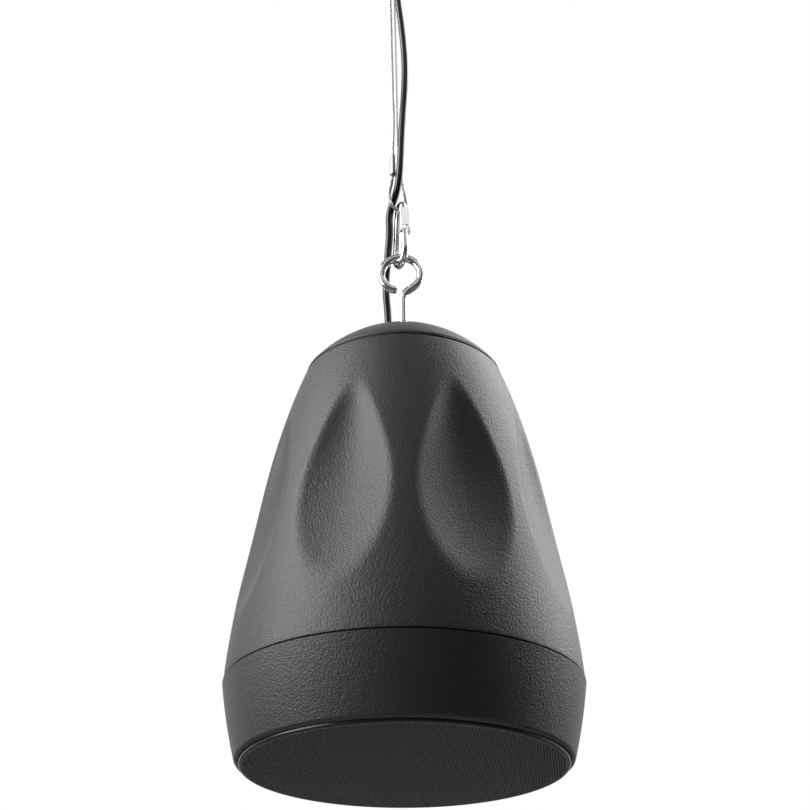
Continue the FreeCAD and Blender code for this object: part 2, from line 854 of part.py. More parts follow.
def make_snap_hook():
    top_pivot = in_hook(leg_reach(hook_pivot_z), hook_pivot_z)
    nose = in_hook(leg_reach(nose_z), nose_z)
    tilt = math.degrees(hook_lean)
    low_start = bow_point(hook_low_centre, hook_low_bow, tilt)
    low_end = bow_point(hook_low_centre, hook_low_bow, 180 - tilt)
    low_mid = bow_point(hook_low_centre, hook_low_bow, 270)
    top_start = bow_point(hook_top_centre, hook_top_bow, 180 - tilt)
    top_end = bow_point(hook_top_centre, hook_top_bow, tilt)
    top_mid = bow_point(hook_top_centre, hook_top_bow, 90)
    path = Part.Wire([
        line(nose, low_start),
        Part.Arc(low_start, low_mid, low_end).toShape(),
        line(low_end, top_start),
        Part.Arc(top_start, top_mid, top_end).toShape(),
        line(top_end, top_pivot),
    ])
    section = Part.Wire([Part.Circle(nose, low_start - nose, hook_wire).toShape()])
    body = path.makePipeShell([section], True, False)
    body = body.fuse([Part.makeSphere(hook_wire, nose), Part.makeSphere(hook_wire, top_pivot)])
    across = hook_reach.cross(UP)
    hole_start = top_pivot - across * 2 * hook_wire
    body = body.cut(Part.makeCylinder(rivet_radius, 4 * hook_wire, hole_start, across))
    keep("snap_hook", body.removeSplitter())

    inner_half = hook_wire + gate_side_play
    outer_half = inner_half + gate_wall
    low = -(gate_length - gate_above_pivot)
    high = gate_above_pivot
    back = inner_half + gate_wall
    shell = Part.makeBox(gate_depth, 2 * outer_half, high - low, Vector(back - gate_depth, -outer_half, low))
    upright = [edge for edge in shell.Edges
               if edge.BoundBox.ZLength > high - low - 0.01 and edge.BoundBox.XMin > back - 0.01]
    shell = shell.makeFillet(gate_wall * 0.9, upright)
    slot = Part.makeBox(gate_depth, 2 * inner_half, high - low,
                        Vector(back - gate_depth - gate_wall, -inner_half, low))
    arch_z = low + gate_mouth - inner_half
    arch = Part.makeCylinder(inner_half, gate_depth, Vector(0, 0, arch_z), Vector(1, 0, 0))
    mouth = Part.makeBox(gate_depth, 2 * inner_half, arch_z - low, Vector(0, -inner_half, low))
    rivet_hole = Part.makeCylinder(rivet_radius + rivet_play, 2 * outer_half, Vector(0, -outer_half, 0),
                                   Vector(0, 1, 0))
    gate = shell.cut([slot, arch, mouth, rivet_hole])
    turn = FreeCAD.Rotation(Vector(0, 1, 0), -tilt)
    gate.Placement = FreeCAD.Placement(Vector(0, 0, 0), turn)
    spin = math.degrees(math.atan2(hook_reach.y, hook_reach.x))
    gate.Placement = FreeCAD.Placement(Vector(0, 0, 0), FreeCAD.Rotation(UP, spin)).multiply(gate.Placement)
    gate.translate(top_pivot)
    keep("snap_gate", gate)

    shaft_half = outer_half + rivet_end_play
    shaft = Part.makeCylinder(rivet_radius, 2 * shaft_half, top_pivot - across * shaft_half, across)
    near = Part.makeCylinder(rivet_head_radius, rivet_head, top_pivot - across * (shaft_half + rivet_head),
                             across)
    far = Part.makeCylinder(rivet_head_radius, rivet_head, top_pivot + across * shaft_half, across)
    keep("gate_rivet", shaft.fuse([near, far]).removeSplitter())
    print("gate pivot", top_pivot, "axis", across, "nose", nose)


# Sling, ferrule, ceiling fitting and cable


def make_rigging():
    rope_radius = rope_diameter / 2
    rope_points = [(x, y, shell_height + rise) for x, y, rise in rope_route]
    keep("suspension_rope", tube(rope_points, rope_diameter, None, "suspension_rope"))
    ferrule_x = rope_points[0][0]
    ferrule_y = rope_points[0][1]
    ferrule_high = ferrule_low + ferrule_length
    body = Part.makeCylinder(ferrule_depth / 2, ferrule_length, Vector(0, 0, 0))
    squeeze = FreeCAD.Matrix()
    squeeze.scale(ferrule_width / ferrule_depth, 1.0, 1.0)
    body = body.transformGeometry(squeeze)
    body.translate(Vector(ferrule_x, ferrule_y, ferrule_low))
    ends = [edge for edge in body.Edges if edge.BoundBox.ZLength < 0.01]
    body = body.makeFillet(ferrule_round, ends)
    body = body.cut(disc(rope_radius + ferrule_gap, ferrule_low - 1, ferrule_high + 1, ferrule_x, ferrule_y))
    keep("rope_ferrule", body)

    plate_low = ceiling_to_seam - plate_thickness
    plate = disc(plate_radius, plate_low, ceiling_to_seam, -axis_offset)
    rounded = [edge for edge in plate.Edges if abs(edge.BoundBox.ZMin - plate_low) < 0.01
               and edge.BoundBox.ZLength < 0.01]
    plate = plate.makeFillet(plate_edge_round, rounded)
    for side in (-1, 1):
        plate = plate.cut(disc(plate_hole_radius, plate_low, ceiling_to_seam,
                               -axis_offset + side * plate_hole_circle))
        sink = Part.makeCone(plate_hole_radius + countersink, plate_hole_radius, countersink,
                             Vector(-axis_offset + side * plate_hole_circle, 0, plate_low))
        plate = plate.cut(sink)
    cable_x = cable_route[-1][0]
    cable_y = cable_route[-1][1]
    grommet_outer = cable_diameter / 2 + grommet_wall
    plate = plate.cut(disc(grommet_outer, plate_low, ceiling_to_seam, cable_x, cable_y))
    keep("ceiling_plate", plate)
    cable_bore = cable_diameter / 2 + cable_play
    grommet = ring(grommet_outer, cable_bore, plate_low, ceiling_to_seam, cable_x, cable_y)
    flange = ring(grommet_outer + grommet_lip, cable_bore, plate_low - grommet_flange, plate_low, cable_x, cable_y)
    keep("ceiling_grommet", grommet.fuse(flange).removeSplitter())

    rope_top = max(point[2] for point in rope_points)
    ring_centre_z = rope_top - rope_radius - rope_lift - ceiling_wire + ceiling_ring_radius
    turn = math.radians(ceiling_ring_turn)
    normal = Vector(math.sin(turn), math.cos(turn), 0)
    centre = Vector(-axis_offset, 0, ring_centre_z)
    eye = Part.makeTorus(ceiling_ring_radius, ceiling_wire, centre, normal)
    stem_low = ring_centre_z + ceiling_ring_radius
    stem = disc(ceiling_wire, stem_low, plate_low, -axis_offset)
    collar = Part.makeCone(ceiling_wire, ceiling_wire + stem_collar, stem_collar_height,
                           Vector(-axis_offset, 0, plate_low - stem_collar_height))
    keep("ceiling_eye", eye.fuse([stem, collar]).removeSplitter())

    cable_points = [(gland_x, gland_y, gland_top)]
    cable_points += [(x, y, shell_height + rise) for x, y, rise in cable_route]
    keep("speaker_cable", tube(cable_points, cable_diameter, None, "speaker_cable"))

    flats = hexagon(gland_flats, cap_top, gland_flange_top)
    flats.translate(Vector(gland_x, gland_y, 0))
    dome = Part.makeCone(gland_dome_radius, gland_dome_radius - gland_dome_taper, gland_dome_height,
                         Vector(gland_x, gland_y, gland_flange_top))
    thread_low = cap_top - gland_thread_length
    thread = disc(gland_thread_radius, thread_low, cap_top, gland_x, gland_y)
    gland = flats.fuse([dome, thread])
    gland = gland.cut(disc(cable_bore, thread_low, gland_top, gland_x, gland_y))
    keep("cable_gland", gland.removeSplitter())
    nut_top = cap_top - gland_boss_drop
    nut = hexagon(gland_flats, nut_top - gland_nut_height, nut_top)
    nut.translate(Vector(gland_x, gland_y, 0))
    keep("gland_locknut", nut.cut(disc(gland_thread_radius, nut_top - gland_nut_height, nut_top,
                                       gland_x, gland_y)))

    entry_x = terminal_x + terminal_size[0] / 2
    entry_z = deck_top + terminal_size[2] / 2
    tail = [(gland_x, gland_y, gland_top), (gland_x, gland_y, entry_z), (entry_x, gland_y, entry_z)]
    keep("cable_tail", tube(tail, cable_diameter, {1: lead_bend}))


# Wiring compartment, transformer and crossover


def transformer_ears():
    ear = core_length / 2 + bracket_sheet + bracket_ear / 2
    return [(transformer_x, -ear), (transformer_x, ear)]


def board_corners():
    half_x = board_width / 2 - board_inset
    half_y = board_length / 2 - board_inset
    return [(board_x + x, y) for x in (-half_x, half_x) for y in (-half_y, half_y)]


def terminal_screw_places():
    return [(terminal_x, terminal_y - terminal_pitch), (terminal_x, terminal_y + terminal_pitch)]


def make_electrics():
    body = block(terminal_x, terminal_y, deck_top, terminal_size)
    block_top = deck_top + terminal_size[2]
    floor = deck_top + terminal_floor
    for number in range(terminal_ways):
        y = terminal_y + terminal_pitch * (number - (terminal_ways - 1) / 2)
        body = body.cut(disc(terminal_hole_radius, block_top - terminal_hole_depth, block_top,
                             terminal_x + terminal_size[0] / 2 - terminal_hole_inset, y))
    for x, y in terminal_screw_places():
        body = body.cut(disc(small_screw_radius, deck_top, floor, x, y))
        body = body.cut(disc(small_head_radius + screw_clearance, floor, block_top, x, y))
    keep("terminal_block", body)
    fixings = [screw(x, y, floor + small_head_height, -1, small_screw_radius, terminal_screw_length,
                     small_head_radius, small_head_height) for x, y in terminal_screw_places()]
    keep("terminal_screws", Part.makeCompound(fixings))

    wall = lead_diameter / 2 + grommet_wall
    sleeve = ring(wall, lead_diameter / 2, deck_low, deck_top, terminal_x, deck_grommet_y)
    collar = ring(wall + grommet_lip, lead_diameter / 2, deck_top, deck_top + grommet_flange,
                  terminal_x, deck_grommet_y)
    keep("deck_grommet", sleeve.fuse(collar).removeSplitter())

    board_top = deck_low - board_spacer
    board_low = board_top - board_thickness
    board = block(board_x, 0, board_low, (board_width, board_length, board_thickness))
    board = board.cut([disc(small_screw_radius, board_low, board_top, x, y) for x, y in board_corners()])
    keep("crossover_board", board)
    spacers = [ring(spacer_radius, small_screw_radius, board_top, deck_low, x, y) for x, y in board_corners()]
    keep("board_spacers", Part.makeCompound(spacers))
    length = board_thickness + board_spacer + deck_thickness - screw_end_gap
    screws = [screw(x, y, board_low - small_head_height, 1, small_screw_radius, length,
                    small_head_radius, small_head_height) for x, y in board_corners()]
    keep("board_screws", Part.makeCompound(screws))

    half = board_length / 2
    plug_y = half - connector_size[1] / 2
    connector_low = board_low - connector_size[2]
    plugs = [block(terminal_x, plug_y, connector_low, connector_size),
             block(board_x, -plug_y, connector_low, connector_size)]
    keep("board_connectors", Part.makeCompound(plugs))
    keep("crossover_choke", ring(choke_radius, choke_bore, board_low - choke_height, board_low,
                                 board_x, choke_y))
    lying = Part.makeCylinder(capacitor_radius, capacitor_length,
                              Vector(board_x - capacitor_length / 2, capacitor_y, board_low - capacitor_radius),
                              Vector(1, 0, 0))
    standing = [disc(small_capacitor_radius, board_low - small_capacitor_height, board_low, board_x + x, y)
                for x, y in small_capacitor_places]
    keep("crossover_capacitors", Part.makeCompound([lying] + standing))
    keep("crossover_resistor", block(board_x + board_width / 2 - resistor_inset, choke_y,
                                     board_low - resistor_size[2], resistor_size))

    plug_z = connector_low + connector_size[2] / 2
    over = deck_top + terminal_size[2] / 2
    block_end = terminal_y + terminal_size[1] / 2
    deck_route = [(terminal_x, block_end, over), (terminal_x, deck_grommet_y, over),
                  (terminal_x, deck_grommet_y, plug_z), (terminal_x, half, plug_z)]
    keep("deck_lead", tube(deck_route, lead_diameter, {1: lead_tight_bend, 2: lead_tight_bend}))
    lead_y = -half - lead_reach
    woofer_route = [(board_x, -half, plug_z), (board_x, lead_y, plug_z), (board_x, lead_y, tag_top)]
    keep("woofer_lead", tube(woofer_route, lead_diameter, {1: lead_bend}))

    core_low = deck_low - core_height
    core = block(transformer_x, 0, core_low, (core_width, core_length, core_height))
    window = (core_length - centre_limb) / 2 - side_limb
    window_high = core_height - 2 * side_limb
    holes = [block(transformer_x, side * (centre_limb + window) / 2, core_low + side_limb,
                   (core_width + 2, window, window_high)) for side in (-1, 1)]
    keep("transformer_core", core.cut(holes))
    coil = block(transformer_x, 0, core_low + side_limb,
                 (core_width + 2 * winding_bulge, centre_limb + 2 * window, window_high))
    limb = block(transformer_x, 0, core_low + side_limb, (core_width, centre_limb, window_high))
    keep("transformer_winding", coil.cut(limb))
    strap = block(transformer_x, 0, core_low - bracket_sheet,
                  (bracket_width, core_length + 2 * bracket_sheet, core_height + bracket_sheet))
    strap = strap.cut(block(transformer_x, 0, core_low, (bracket_width, core_length, core_height)))
    ear_y = core_length / 2 + bracket_sheet + bracket_ear / 2
    ears = [block(transformer_x, side * ear_y, deck_low - bracket_sheet,
                  (bracket_width, bracket_ear, bracket_sheet)) for side in (-1, 1)]
    strap = strap.fuse(ears)
    for x, y in transformer_ears():
        strap = strap.cut(disc(small_screw_radius, deck_low - bracket_sheet, deck_low, x, y))
    keep("transformer_bracket", strap.removeSplitter())
    screws = [screw(x, y, deck_low - bracket_sheet - small_head_height, 1, small_screw_radius,
                    bracket_sheet + deck_thickness - screw_end_gap, small_head_radius, small_head_height)
              for x, y in transformer_ears()]
    keep("transformer_screws", Part.makeCompound(screws))


# Loudspeaker


def make_woofer():
    gasket = ring(frame_flange_radius, woofer_cutout, flange_top, panel_low)
    bores = around(disc(woofer_screw_radius + screw_clearance, flange_low, panel_low, woofer_screw_circle),
                   woofer_screw_count)
    keep("woofer_gasket", gasket.cut(bores))

    wall_top = woofer_cutout - cutout_clearance
    frame_hole = winding_outer + magnet_gap + frame_hole_margin
    outline = [
        (frame_flange_radius, flange_low),
        (frame_flange_radius, flange_top),
        (wall_top, flange_top),
        (basket_radius, ledge_z),
        (basket_radius, ledge_z + frame_wall),
        (frame_back_radius + frame_wall, ledge_z + frame_wall),
        (frame_back_radius + frame_wall, frame_back),
        (frame_hole, frame_back),
        (frame_hole, frame_back - frame_wall),
        (frame_back_radius, frame_back - frame_wall),
        (frame_back_radius, ledge_z + frame_wall),
        (spider_ledge_inner, ledge_z + frame_wall),
        (spider_ledge_inner, ledge_z),
        (basket_radius - frame_wall, ledge_z),
        (wall_top - frame_wall, flange_top),
        (frame_flange_inner, flange_top),
        (frame_flange_inner, flange_low),
    ]
    frame = turned(outline)
    window_height = spider_ledge_depth - 2 * frame_window_margin
    window = Part.makeBox(frame_flange_radius, frame_window_width, window_height,
                          Vector(frame_back_radius, -frame_window_width / 2, flange_top + frame_window_margin))
    frame = frame.cut(around(window, frame_window_count, 180.0 / frame_window_count))
    frame = frame.cut(around(disc(woofer_screw_radius + screw_clearance, flange_low, flange_top,
                                  woofer_screw_circle), woofer_screw_count))
    keep("woofer_frame", frame.removeSplitter())
    one = screw(woofer_screw_circle, 0, flange_low - woofer_head_height, 1, woofer_screw_radius,
                woofer_screw_length, woofer_head_radius, woofer_head_height)
    keep("woofer_screws", Part.makeCompound(around(one, woofer_screw_count)))

    gap_radius = winding_outer + magnet_gap
    keep("top_plate", ring(pole_plate_radius, gap_radius, frame_back, pole_plate_top))
    keep("magnet", ring(magnet_radius, magnet_inner, pole_plate_top, magnet_top))
    yoke = disc(pole_plate_radius, magnet_top, yoke_top).fuse(disc(pole_radius, frame_back, magnet_top))
    yoke = yoke.cut(disc(tweeter_post_radius, frame_back, frame_back + tweeter_post_seat))
    keep("yoke", yoke.removeSplitter())

    winding_low = frame_back + pole_plate_height / 2 - winding_height / 2
    winding_high = winding_low + winding_height
    winding = ring(winding_outer, former_outer, winding_low, winding_high)
    former = ring(former_outer, coil_bore, cone_neck - former_overlap, winding_high + former_above_winding)
    keep("voice_coil", former.fuse(winding).removeSplitter())

    neck = former_outer
    front = [at(neck, cone_neck), at((cone_outer + neck) / 2, (cone_edge + cone_neck) / 2 + cone_curve),
             at(cone_outer, cone_edge)]
    back = [point + UP * cone_thickness for point in reversed(front)]
    keep("woofer_cone", lathe([curve(front), line(front[-1], back[0]), curve(back), line(back[-1], front[0])]))

    outer = frame_flange_inner
    roll_start = cone_outer + soft_gap
    roll_end = outer - soft_gap
    middle = (roll_start + roll_end) / 2
    reach = (roll_end - roll_start) / 2
    top = cone_edge + cone_thickness
    keep("surround", lathe([
        Part.Arc(at(roll_start, top), at(middle, top - reach), at(roll_end, top)).toShape(),
        line(at(roll_end, top), at(roll_end - surround_thickness, top)),
        Part.Arc(at(roll_end - surround_thickness, top), at(middle, top - reach + surround_thickness),
                 at(roll_start + surround_thickness, top)).toShape(),
        line(at(roll_start + surround_thickness, top), at(roll_start, top)),
    ]))

    spider_low = ledge_z - spider_thickness - spider_wave_height
    inner = former_outer + soft_gap
    waves = []
    count = spider_waves * 4
    for number in range(count + 1):
        radius = inner + (spider_ledge_inner - inner) * number / count
        lift = spider_wave_height * (1 - math.cos(2 * math.pi * spider_waves * number / count)) / 2
        waves.append((radius, spider_low + spider_wave_height - lift))
    under = [at(radius, height) for radius, height in waves]
    over = [at(radius, height + spider_thickness) for radius, height in reversed(waves)]
    rim = frame_back_radius
    flat_low = under[-1].z
    flat_high = over[0].z
    keep("spider", lathe([
        curve(under),
        line(under[-1], at(rim, flat_low)),
        line(at(rim, flat_low), at(rim, flat_high)),
        line(at(rim, flat_high), over[0]),
        curve(over),
        line(over[-1], under[0]),
    ]))

    lead_y = -board_length / 2 - lead_reach
    tag_reach = math.hypot(board_x, lead_y) + tag_margin - frame_back_radius
    tag = Part.makeBox(tag_reach, tag_width, tag_top - ledge_z, Vector(frame_back_radius, -tag_width / 2, ledge_z))
    tag.rotate(Vector(0, 0, 0), UP, math.degrees(math.atan2(lead_y, board_x)))
    keep("woofer_terminals", tag.cut(disc(basket_radius, ledge_z, tag_top)))


def make_tweeter():
    front = flange_low + tweeter_front_gap
    low = front + waveguide_thickness
    high = low + tweeter_depth
    cup = disc(tweeter_radius, low, high)
    keep("tweeter_housing", cup.cut(disc(dome_radius - dome_seat_width, low, low + tweeter_pocket)))
    ball_radius = (dome_radius ** 2 + dome_height ** 2) / (2 * dome_height)
    centre = Vector(0, 0, low + ball_radius - dome_height)
    skin = Part.makeSphere(ball_radius, centre).cut(Part.makeSphere(ball_radius - dome_thickness, centre))
    keep("tweeter_dome", skin.common(disc(tweeter_radius, flange_low, low)))
    mouth = dome_radius + waveguide_gap
    rim = tweeter_radius + waveguide_rim
    keep("tweeter_waveguide", turned([(mouth, low), (mouth + waveguide_flare, front), (rim, front), (rim, low)]))
    keep("tweeter_post", disc(tweeter_post_radius, high, frame_back + tweeter_post_seat))


make_shell()
make_cap()
make_skirt()
make_eye_hook()
make_snap_hook()
make_rigging()
make_electrics()
make_woofer()
make_tweeter()

os.makedirs("parts", exist_ok=True)
for name, shape in pieces.items():
    placed = shape.copy()
    placed.translate(Vector(axis_offset, 0, -ceiling_to_seam))
    placed.exportStep("parts/" + name + ".step")
    solids = placed.Solids
    good = placed.isValid() and all(solid.Volume > 0 for solid in solids)
    print(name, len(solids), "solids", round(placed.Volume, 1), "mm3", "ok" if good else "BAD")
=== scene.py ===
import bpy
import json
import math
import numpy as np
from mathutils import Matrix, Vector


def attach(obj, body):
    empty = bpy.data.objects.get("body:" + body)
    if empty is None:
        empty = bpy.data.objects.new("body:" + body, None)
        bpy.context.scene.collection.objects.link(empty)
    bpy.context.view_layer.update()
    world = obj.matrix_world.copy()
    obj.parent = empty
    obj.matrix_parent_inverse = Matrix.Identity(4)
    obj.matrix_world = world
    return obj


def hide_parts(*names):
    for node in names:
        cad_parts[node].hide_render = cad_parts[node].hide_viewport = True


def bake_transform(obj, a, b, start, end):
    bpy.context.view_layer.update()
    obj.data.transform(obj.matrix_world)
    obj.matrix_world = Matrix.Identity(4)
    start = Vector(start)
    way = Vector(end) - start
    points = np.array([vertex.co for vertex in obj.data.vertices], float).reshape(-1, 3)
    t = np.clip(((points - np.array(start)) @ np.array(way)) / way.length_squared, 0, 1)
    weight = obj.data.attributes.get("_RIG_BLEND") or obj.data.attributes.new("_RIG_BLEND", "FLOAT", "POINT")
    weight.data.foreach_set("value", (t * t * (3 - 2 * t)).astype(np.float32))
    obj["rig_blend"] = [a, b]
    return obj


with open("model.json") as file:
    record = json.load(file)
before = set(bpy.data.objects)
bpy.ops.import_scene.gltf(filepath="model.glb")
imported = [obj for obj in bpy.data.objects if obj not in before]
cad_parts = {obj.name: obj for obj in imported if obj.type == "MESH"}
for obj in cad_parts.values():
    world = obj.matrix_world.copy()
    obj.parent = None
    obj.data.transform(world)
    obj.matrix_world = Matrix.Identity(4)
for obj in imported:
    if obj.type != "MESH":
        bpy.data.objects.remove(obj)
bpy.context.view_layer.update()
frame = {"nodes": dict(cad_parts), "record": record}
print("stage: frame loaded,", len(frame["nodes"]), "nodes")

# Shapes are worked out in millimetres about the speaker's own axis, with height 0 at the seam
# between shell and skirt, and are moved to the frame when they are made.
seam = {"x": 9.9, "z": -770.0, "toTopEdge": 270.0}


def toFrame(points):  # millimetres about the seam -> metres in the frame
    return (np.asarray(points, float) + (seam["x"], 0, seam["z"])) / 1000


# Camera: below the speaker, looking up at it. Angles are in degrees, and axisPixel is the column
# of the picture that the camera's own axis meets.
cameraSpot = {
    "place": (0.0, -1138.2, -357.7),
    "pitch": 28.03,
    "roll": -0.19,
    "focalPixels": 1518.6,
    "picturePixels": 810,
    "axisPixel": 403.4,
}


# Lens = sensor width * focal length in pixels / width of the picture in pixels
def makeCamera(spot):
    data = bpy.data.cameras.new("camera")
    camera = bpy.data.objects.new("camera", data)
    bpy.context.scene.collection.objects.link(camera)
    data.lens = data.sensor_width * spot["focalPixels"] / spot["picturePixels"]
    data.shift_x = (spot["picturePixels"] / 2 - spot["axisPixel"]) / spot["picturePixels"]
    turn = Matrix.Rotation(math.radians(90 + spot["pitch"]), 4, "X")
    roll = Matrix.Rotation(math.radians(spot["roll"]), 4, "Z")
    camera.matrix_world = Matrix.Translation(toFrame(spot["place"])) @ turn @ roll
    bpy.context.scene.camera = camera


makeCamera(cameraSpot)


# Small tools for meshes


# Mesh from an array of points and arrays of faces, one for each number of corners. Edges sharper
# than sharpFrom degrees stay sharp.
def linkMesh(name, points, faceSets, uv=None, sharpFrom=35):
    mesh = bpy.data.meshes.new(name)
    mesh.vertices.add(len(points))
    mesh.vertices.foreach_set("co", np.asarray(points, np.float32).ravel())
    corners = np.concatenate([faces.ravel() for faces in faceSets]).astype(np.int32)
    sizes = np.concatenate([np.full(len(faces), faces.shape[1]) for faces in faceSets])
    mesh.loops.add(len(corners))
    mesh.loops.foreach_set("vertex_index", corners)
    mesh.polygons.add(len(sizes))
    mesh.polygons.foreach_set("loop_start", np.r_[0, np.cumsum(sizes)[:-1]].astype(np.int32))
    if uv is not None:
        layer = mesh.uv_layers.new(name="along")
        layer.data.foreach_set("uv", np.asarray(uv, np.float32)[corners].ravel())
    mesh.update(calc_edges=True)
    mesh.shade_smooth()
    mesh.set_sharp_from_angle(angle=math.radians(sharpFrom))
    piece = bpy.data.objects.new(name, mesh)
    bpy.context.scene.collection.objects.link(piece)
    return piece


# Quads of a grid whose point (row, column) is row * columns + column, with either way closed
def gridFaces(rows, columns, closeRows, closeColumns, start=0):
    row = np.arange(rows if closeRows else rows - 1)[:, None]
    column = np.arange(columns if closeColumns else columns - 1)[None, :]
    here, above = row * columns, (row + 1) % rows * columns
    beside = (column + 1) % columns
    quad = np.stack([here + column, here + beside, above + beside, above + column], -1)
    return quad.reshape(-1, 4) + start


# Angles of so many columns once round
def aroundAngles(columns):
    return np.linspace(0, 2 * math.pi, columns, endpoint=False)


# Points at a radius and an angle measured from the front (-Y) towards +X
def polar(radius, angle, height):
    radius, angle, height = np.broadcast_arrays(radius, angle, height)
    return np.stack([radius * np.sin(angle), -radius * np.cos(angle), height], -1)


# Closed outline of (radius, height) points turned about an upright line through (x, y)
def ringSolid(outline, columns, x=0, y=0):
    outline = np.array(outline, float)
    points = polar(outline[:, :1], aroundAngles(columns)[None, :], outline[:, 1:]) + (x, y, 0)
    return points.reshape(-1, 3), gridFaces(len(outline), columns, True, True)


# Rides the piece on the still body and gives it a finish of the record's
def dress(piece, slot):
    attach(piece, "root")
    piece.data.materials.append(finishes[slot])


# Finishes


# sRGB hex -> linear: part / 12.92 up to 0.04045, else ((part + 0.055) / 1.055) ^ 2.4
def linear(colour):
    parts = np.array([int(colour[k:k + 2], 16) for k in (1, 3, 5)]) / 255
    bent = np.where(parts <= 0.04045, parts / 12.92, ((parts + 0.055) / 1.055) ** 2.4)
    return (*[float(part) for part in bent], 1.0)


# Adds a shader node with its inputs, which are values or other nodes' outputs, and its settings,
# and returns its outputs
def addNode(tree, kind, inputs=None, **settings):
    node = tree.nodes.new("ShaderNode" + kind)
    for name, value in settings.items():
        setattr(node, name, value)
    for name, value in (inputs or {}).items():
        if isinstance(value, bpy.types.NodeSocket):
            tree.links.new(value, node.inputs[name])
        else:
            node.inputs[name].default_value = value
    return node.outputs


def perMetre(size):  # texture scale at which a cell is size millimetres wide
    return 1000 / size


def bandScale(size):  # wave texture scale at which a band is size millimetres wide: pi / 10 each
    return math.pi / 10 * 1000 / size


patternShape = {
    "grainTurn": (0.6, 0.5, 0.9),  # radians, so that no row of cells follows an axis
    "grainBendSize": 1.6,  # width of the noise that bends the cells, in grains
    "grainBendReach": 2.0,  # how far it may move them, in grains
    "grainSoftness": 0.35,
    "grainFall": -0.8,  # cells are highest at their middles
    "poreSize": 0.6,  # in grains
    "poreRise": 0.45,
    "poreDetail": 1.0,
    "peelDetail": 1.0,
    "drawnDetail": 3.0,
    "drawnPull": (1, 1, 0.06),  # along the wire the noise runs 1 / 0.06 times as far
    "fibreDetail": 4.0,
    "fibreFold": 0.5,
    "cloudDetail": 3.0,
    "mottleShare": 0.2,  # width of the spots of gloss, in clouds
    "mottleLow": 0.3,  # noise at which the roughness is least
    "mottleHigh": 0.7,  # and most
}


# Leather grain: rounded cells between creases, bent by a noise, with pores on them
def grainHeight(tree, place, look):
    shape, grain = patternShape, look["size"]
    turned = addNode(tree, "Mapping", {"Vector": place, "Rotation": shape["grainTurn"]})["Vector"]
    bend = addNode(tree, "TexNoise", {
        "Vector": turned, "Scale": perMetre(grain * shape["grainBendSize"])})["Color"]
    reach = [grain * shape["grainBendReach"] / 1000] * 3
    bent = addNode(tree, "VectorMath", {0: bend, 1: reach, 2: turned}, operation="MULTIPLY_ADD")[0]
    cells = addNode(tree, "TexVoronoi", {
        "Vector": bent, "Scale": perMetre(grain), "Smoothness": shape["grainSoftness"]},
        feature="SMOOTH_F1")["Distance"]
    pores = addNode(tree, "TexNoise", {
        "Vector": turned, "Scale": perMetre(grain * shape["poreSize"]),
        "Detail": shape["poreDetail"]})[0]
    raised = addNode(tree, "Math", {0: pores, 1: shape["poreRise"]}, operation="MULTIPLY")[0]
    return addNode(tree, "Math", {0: cells, 1: shape["grainFall"], 2: raised},
                   operation="MULTIPLY_ADD")[0]


# Powder coat or cast skin: low soft bumps, a plain noise
def peelHeight(tree, place, look):
    return addNode(tree, "TexNoise", {"Vector": place, "Scale": perMetre(look["size"]),
                                      "Detail": patternShape["peelDetail"]})[0]


# Drawn or rolled metal: noise pulled out along the wire, which mostly runs upright
def drawnHeight(tree, place, look):
    pulled = addNode(tree, "Mapping", {"Vector": place, "Scale": patternShape["drawnPull"]})[0]
    return addNode(tree, "TexNoise", {"Vector": pulled, "Scale": perMetre(look["size"]),
                                      "Detail": patternShape["drawnDetail"]})[0]


# Turns of wire, tape or laminations: even bands across one direction
def wrapHeight(tree, place, look):
    return addNode(tree, "TexWave", {"Vector": place, "Scale": bandScale(look["size"])},
                   bands_direction=look.get("across", "Z"))["Fac"]


# Plain weave: warp and weft waves, each over the other in turn by a chequer
def weaveHeight(tree, place, look):
    warp, weft = [addNode(tree, "TexWave", {"Vector": place, "Scale": bandScale(look["size"])},
                          bands_direction=way)["Fac"] for way in "XY"]
    turn = addNode(tree, "TexChecker", {"Vector": place, "Scale": perMetre(look["size"])})["Fac"]
    return addNode(tree, "Mix", {0: turn, 2: warp, 3: weft}, data_type="FLOAT")[0]


# Wires laid round a strand: sine of 2 pi * (wires * how far round it (V) + how far along it
# (U, mm) / size)
def wireHeight(tree, place, look):
    part = addNode(tree, "SeparateXYZ", {0: place})
    along = addNode(tree, "Math", {0: part["X"], 1: look["size"]}, operation="DIVIDE")[0]
    phase = addNode(tree, "Math", {0: part["Y"], 1: look["wires"], 2: along},
                    operation="MULTIPLY_ADD")[0]
    turned = addNode(tree, "Math", {0: phase, 1: 2 * math.pi}, operation="MULTIPLY")[0]
    return addNode(tree, "Math", {0: turned}, operation="SINE")[0]


# Felted fibres: a noise folded about its middle, which leaves thin crossing ridges
def fibreHeight(tree, place, look):
    felt = addNode(tree, "TexNoise", {"Vector": place, "Scale": perMetre(look["size"]),
                                      "Detail": patternShape["fibreDetail"]})[0]
    fold = addNode(tree, "Math", {0: felt, 1: patternShape["fibreFold"]}, operation="SUBTRACT")[0]
    return addNode(tree, "Math", {0: fold}, operation="ABSOLUTE")[0]


patterns = {"grain": grainHeight, "peel": peelHeight, "drawn": drawnHeight, "wraps": wrapHeight,
            "weave": weaveHeight, "wires": wireHeight, "fibre": fibreHeight}

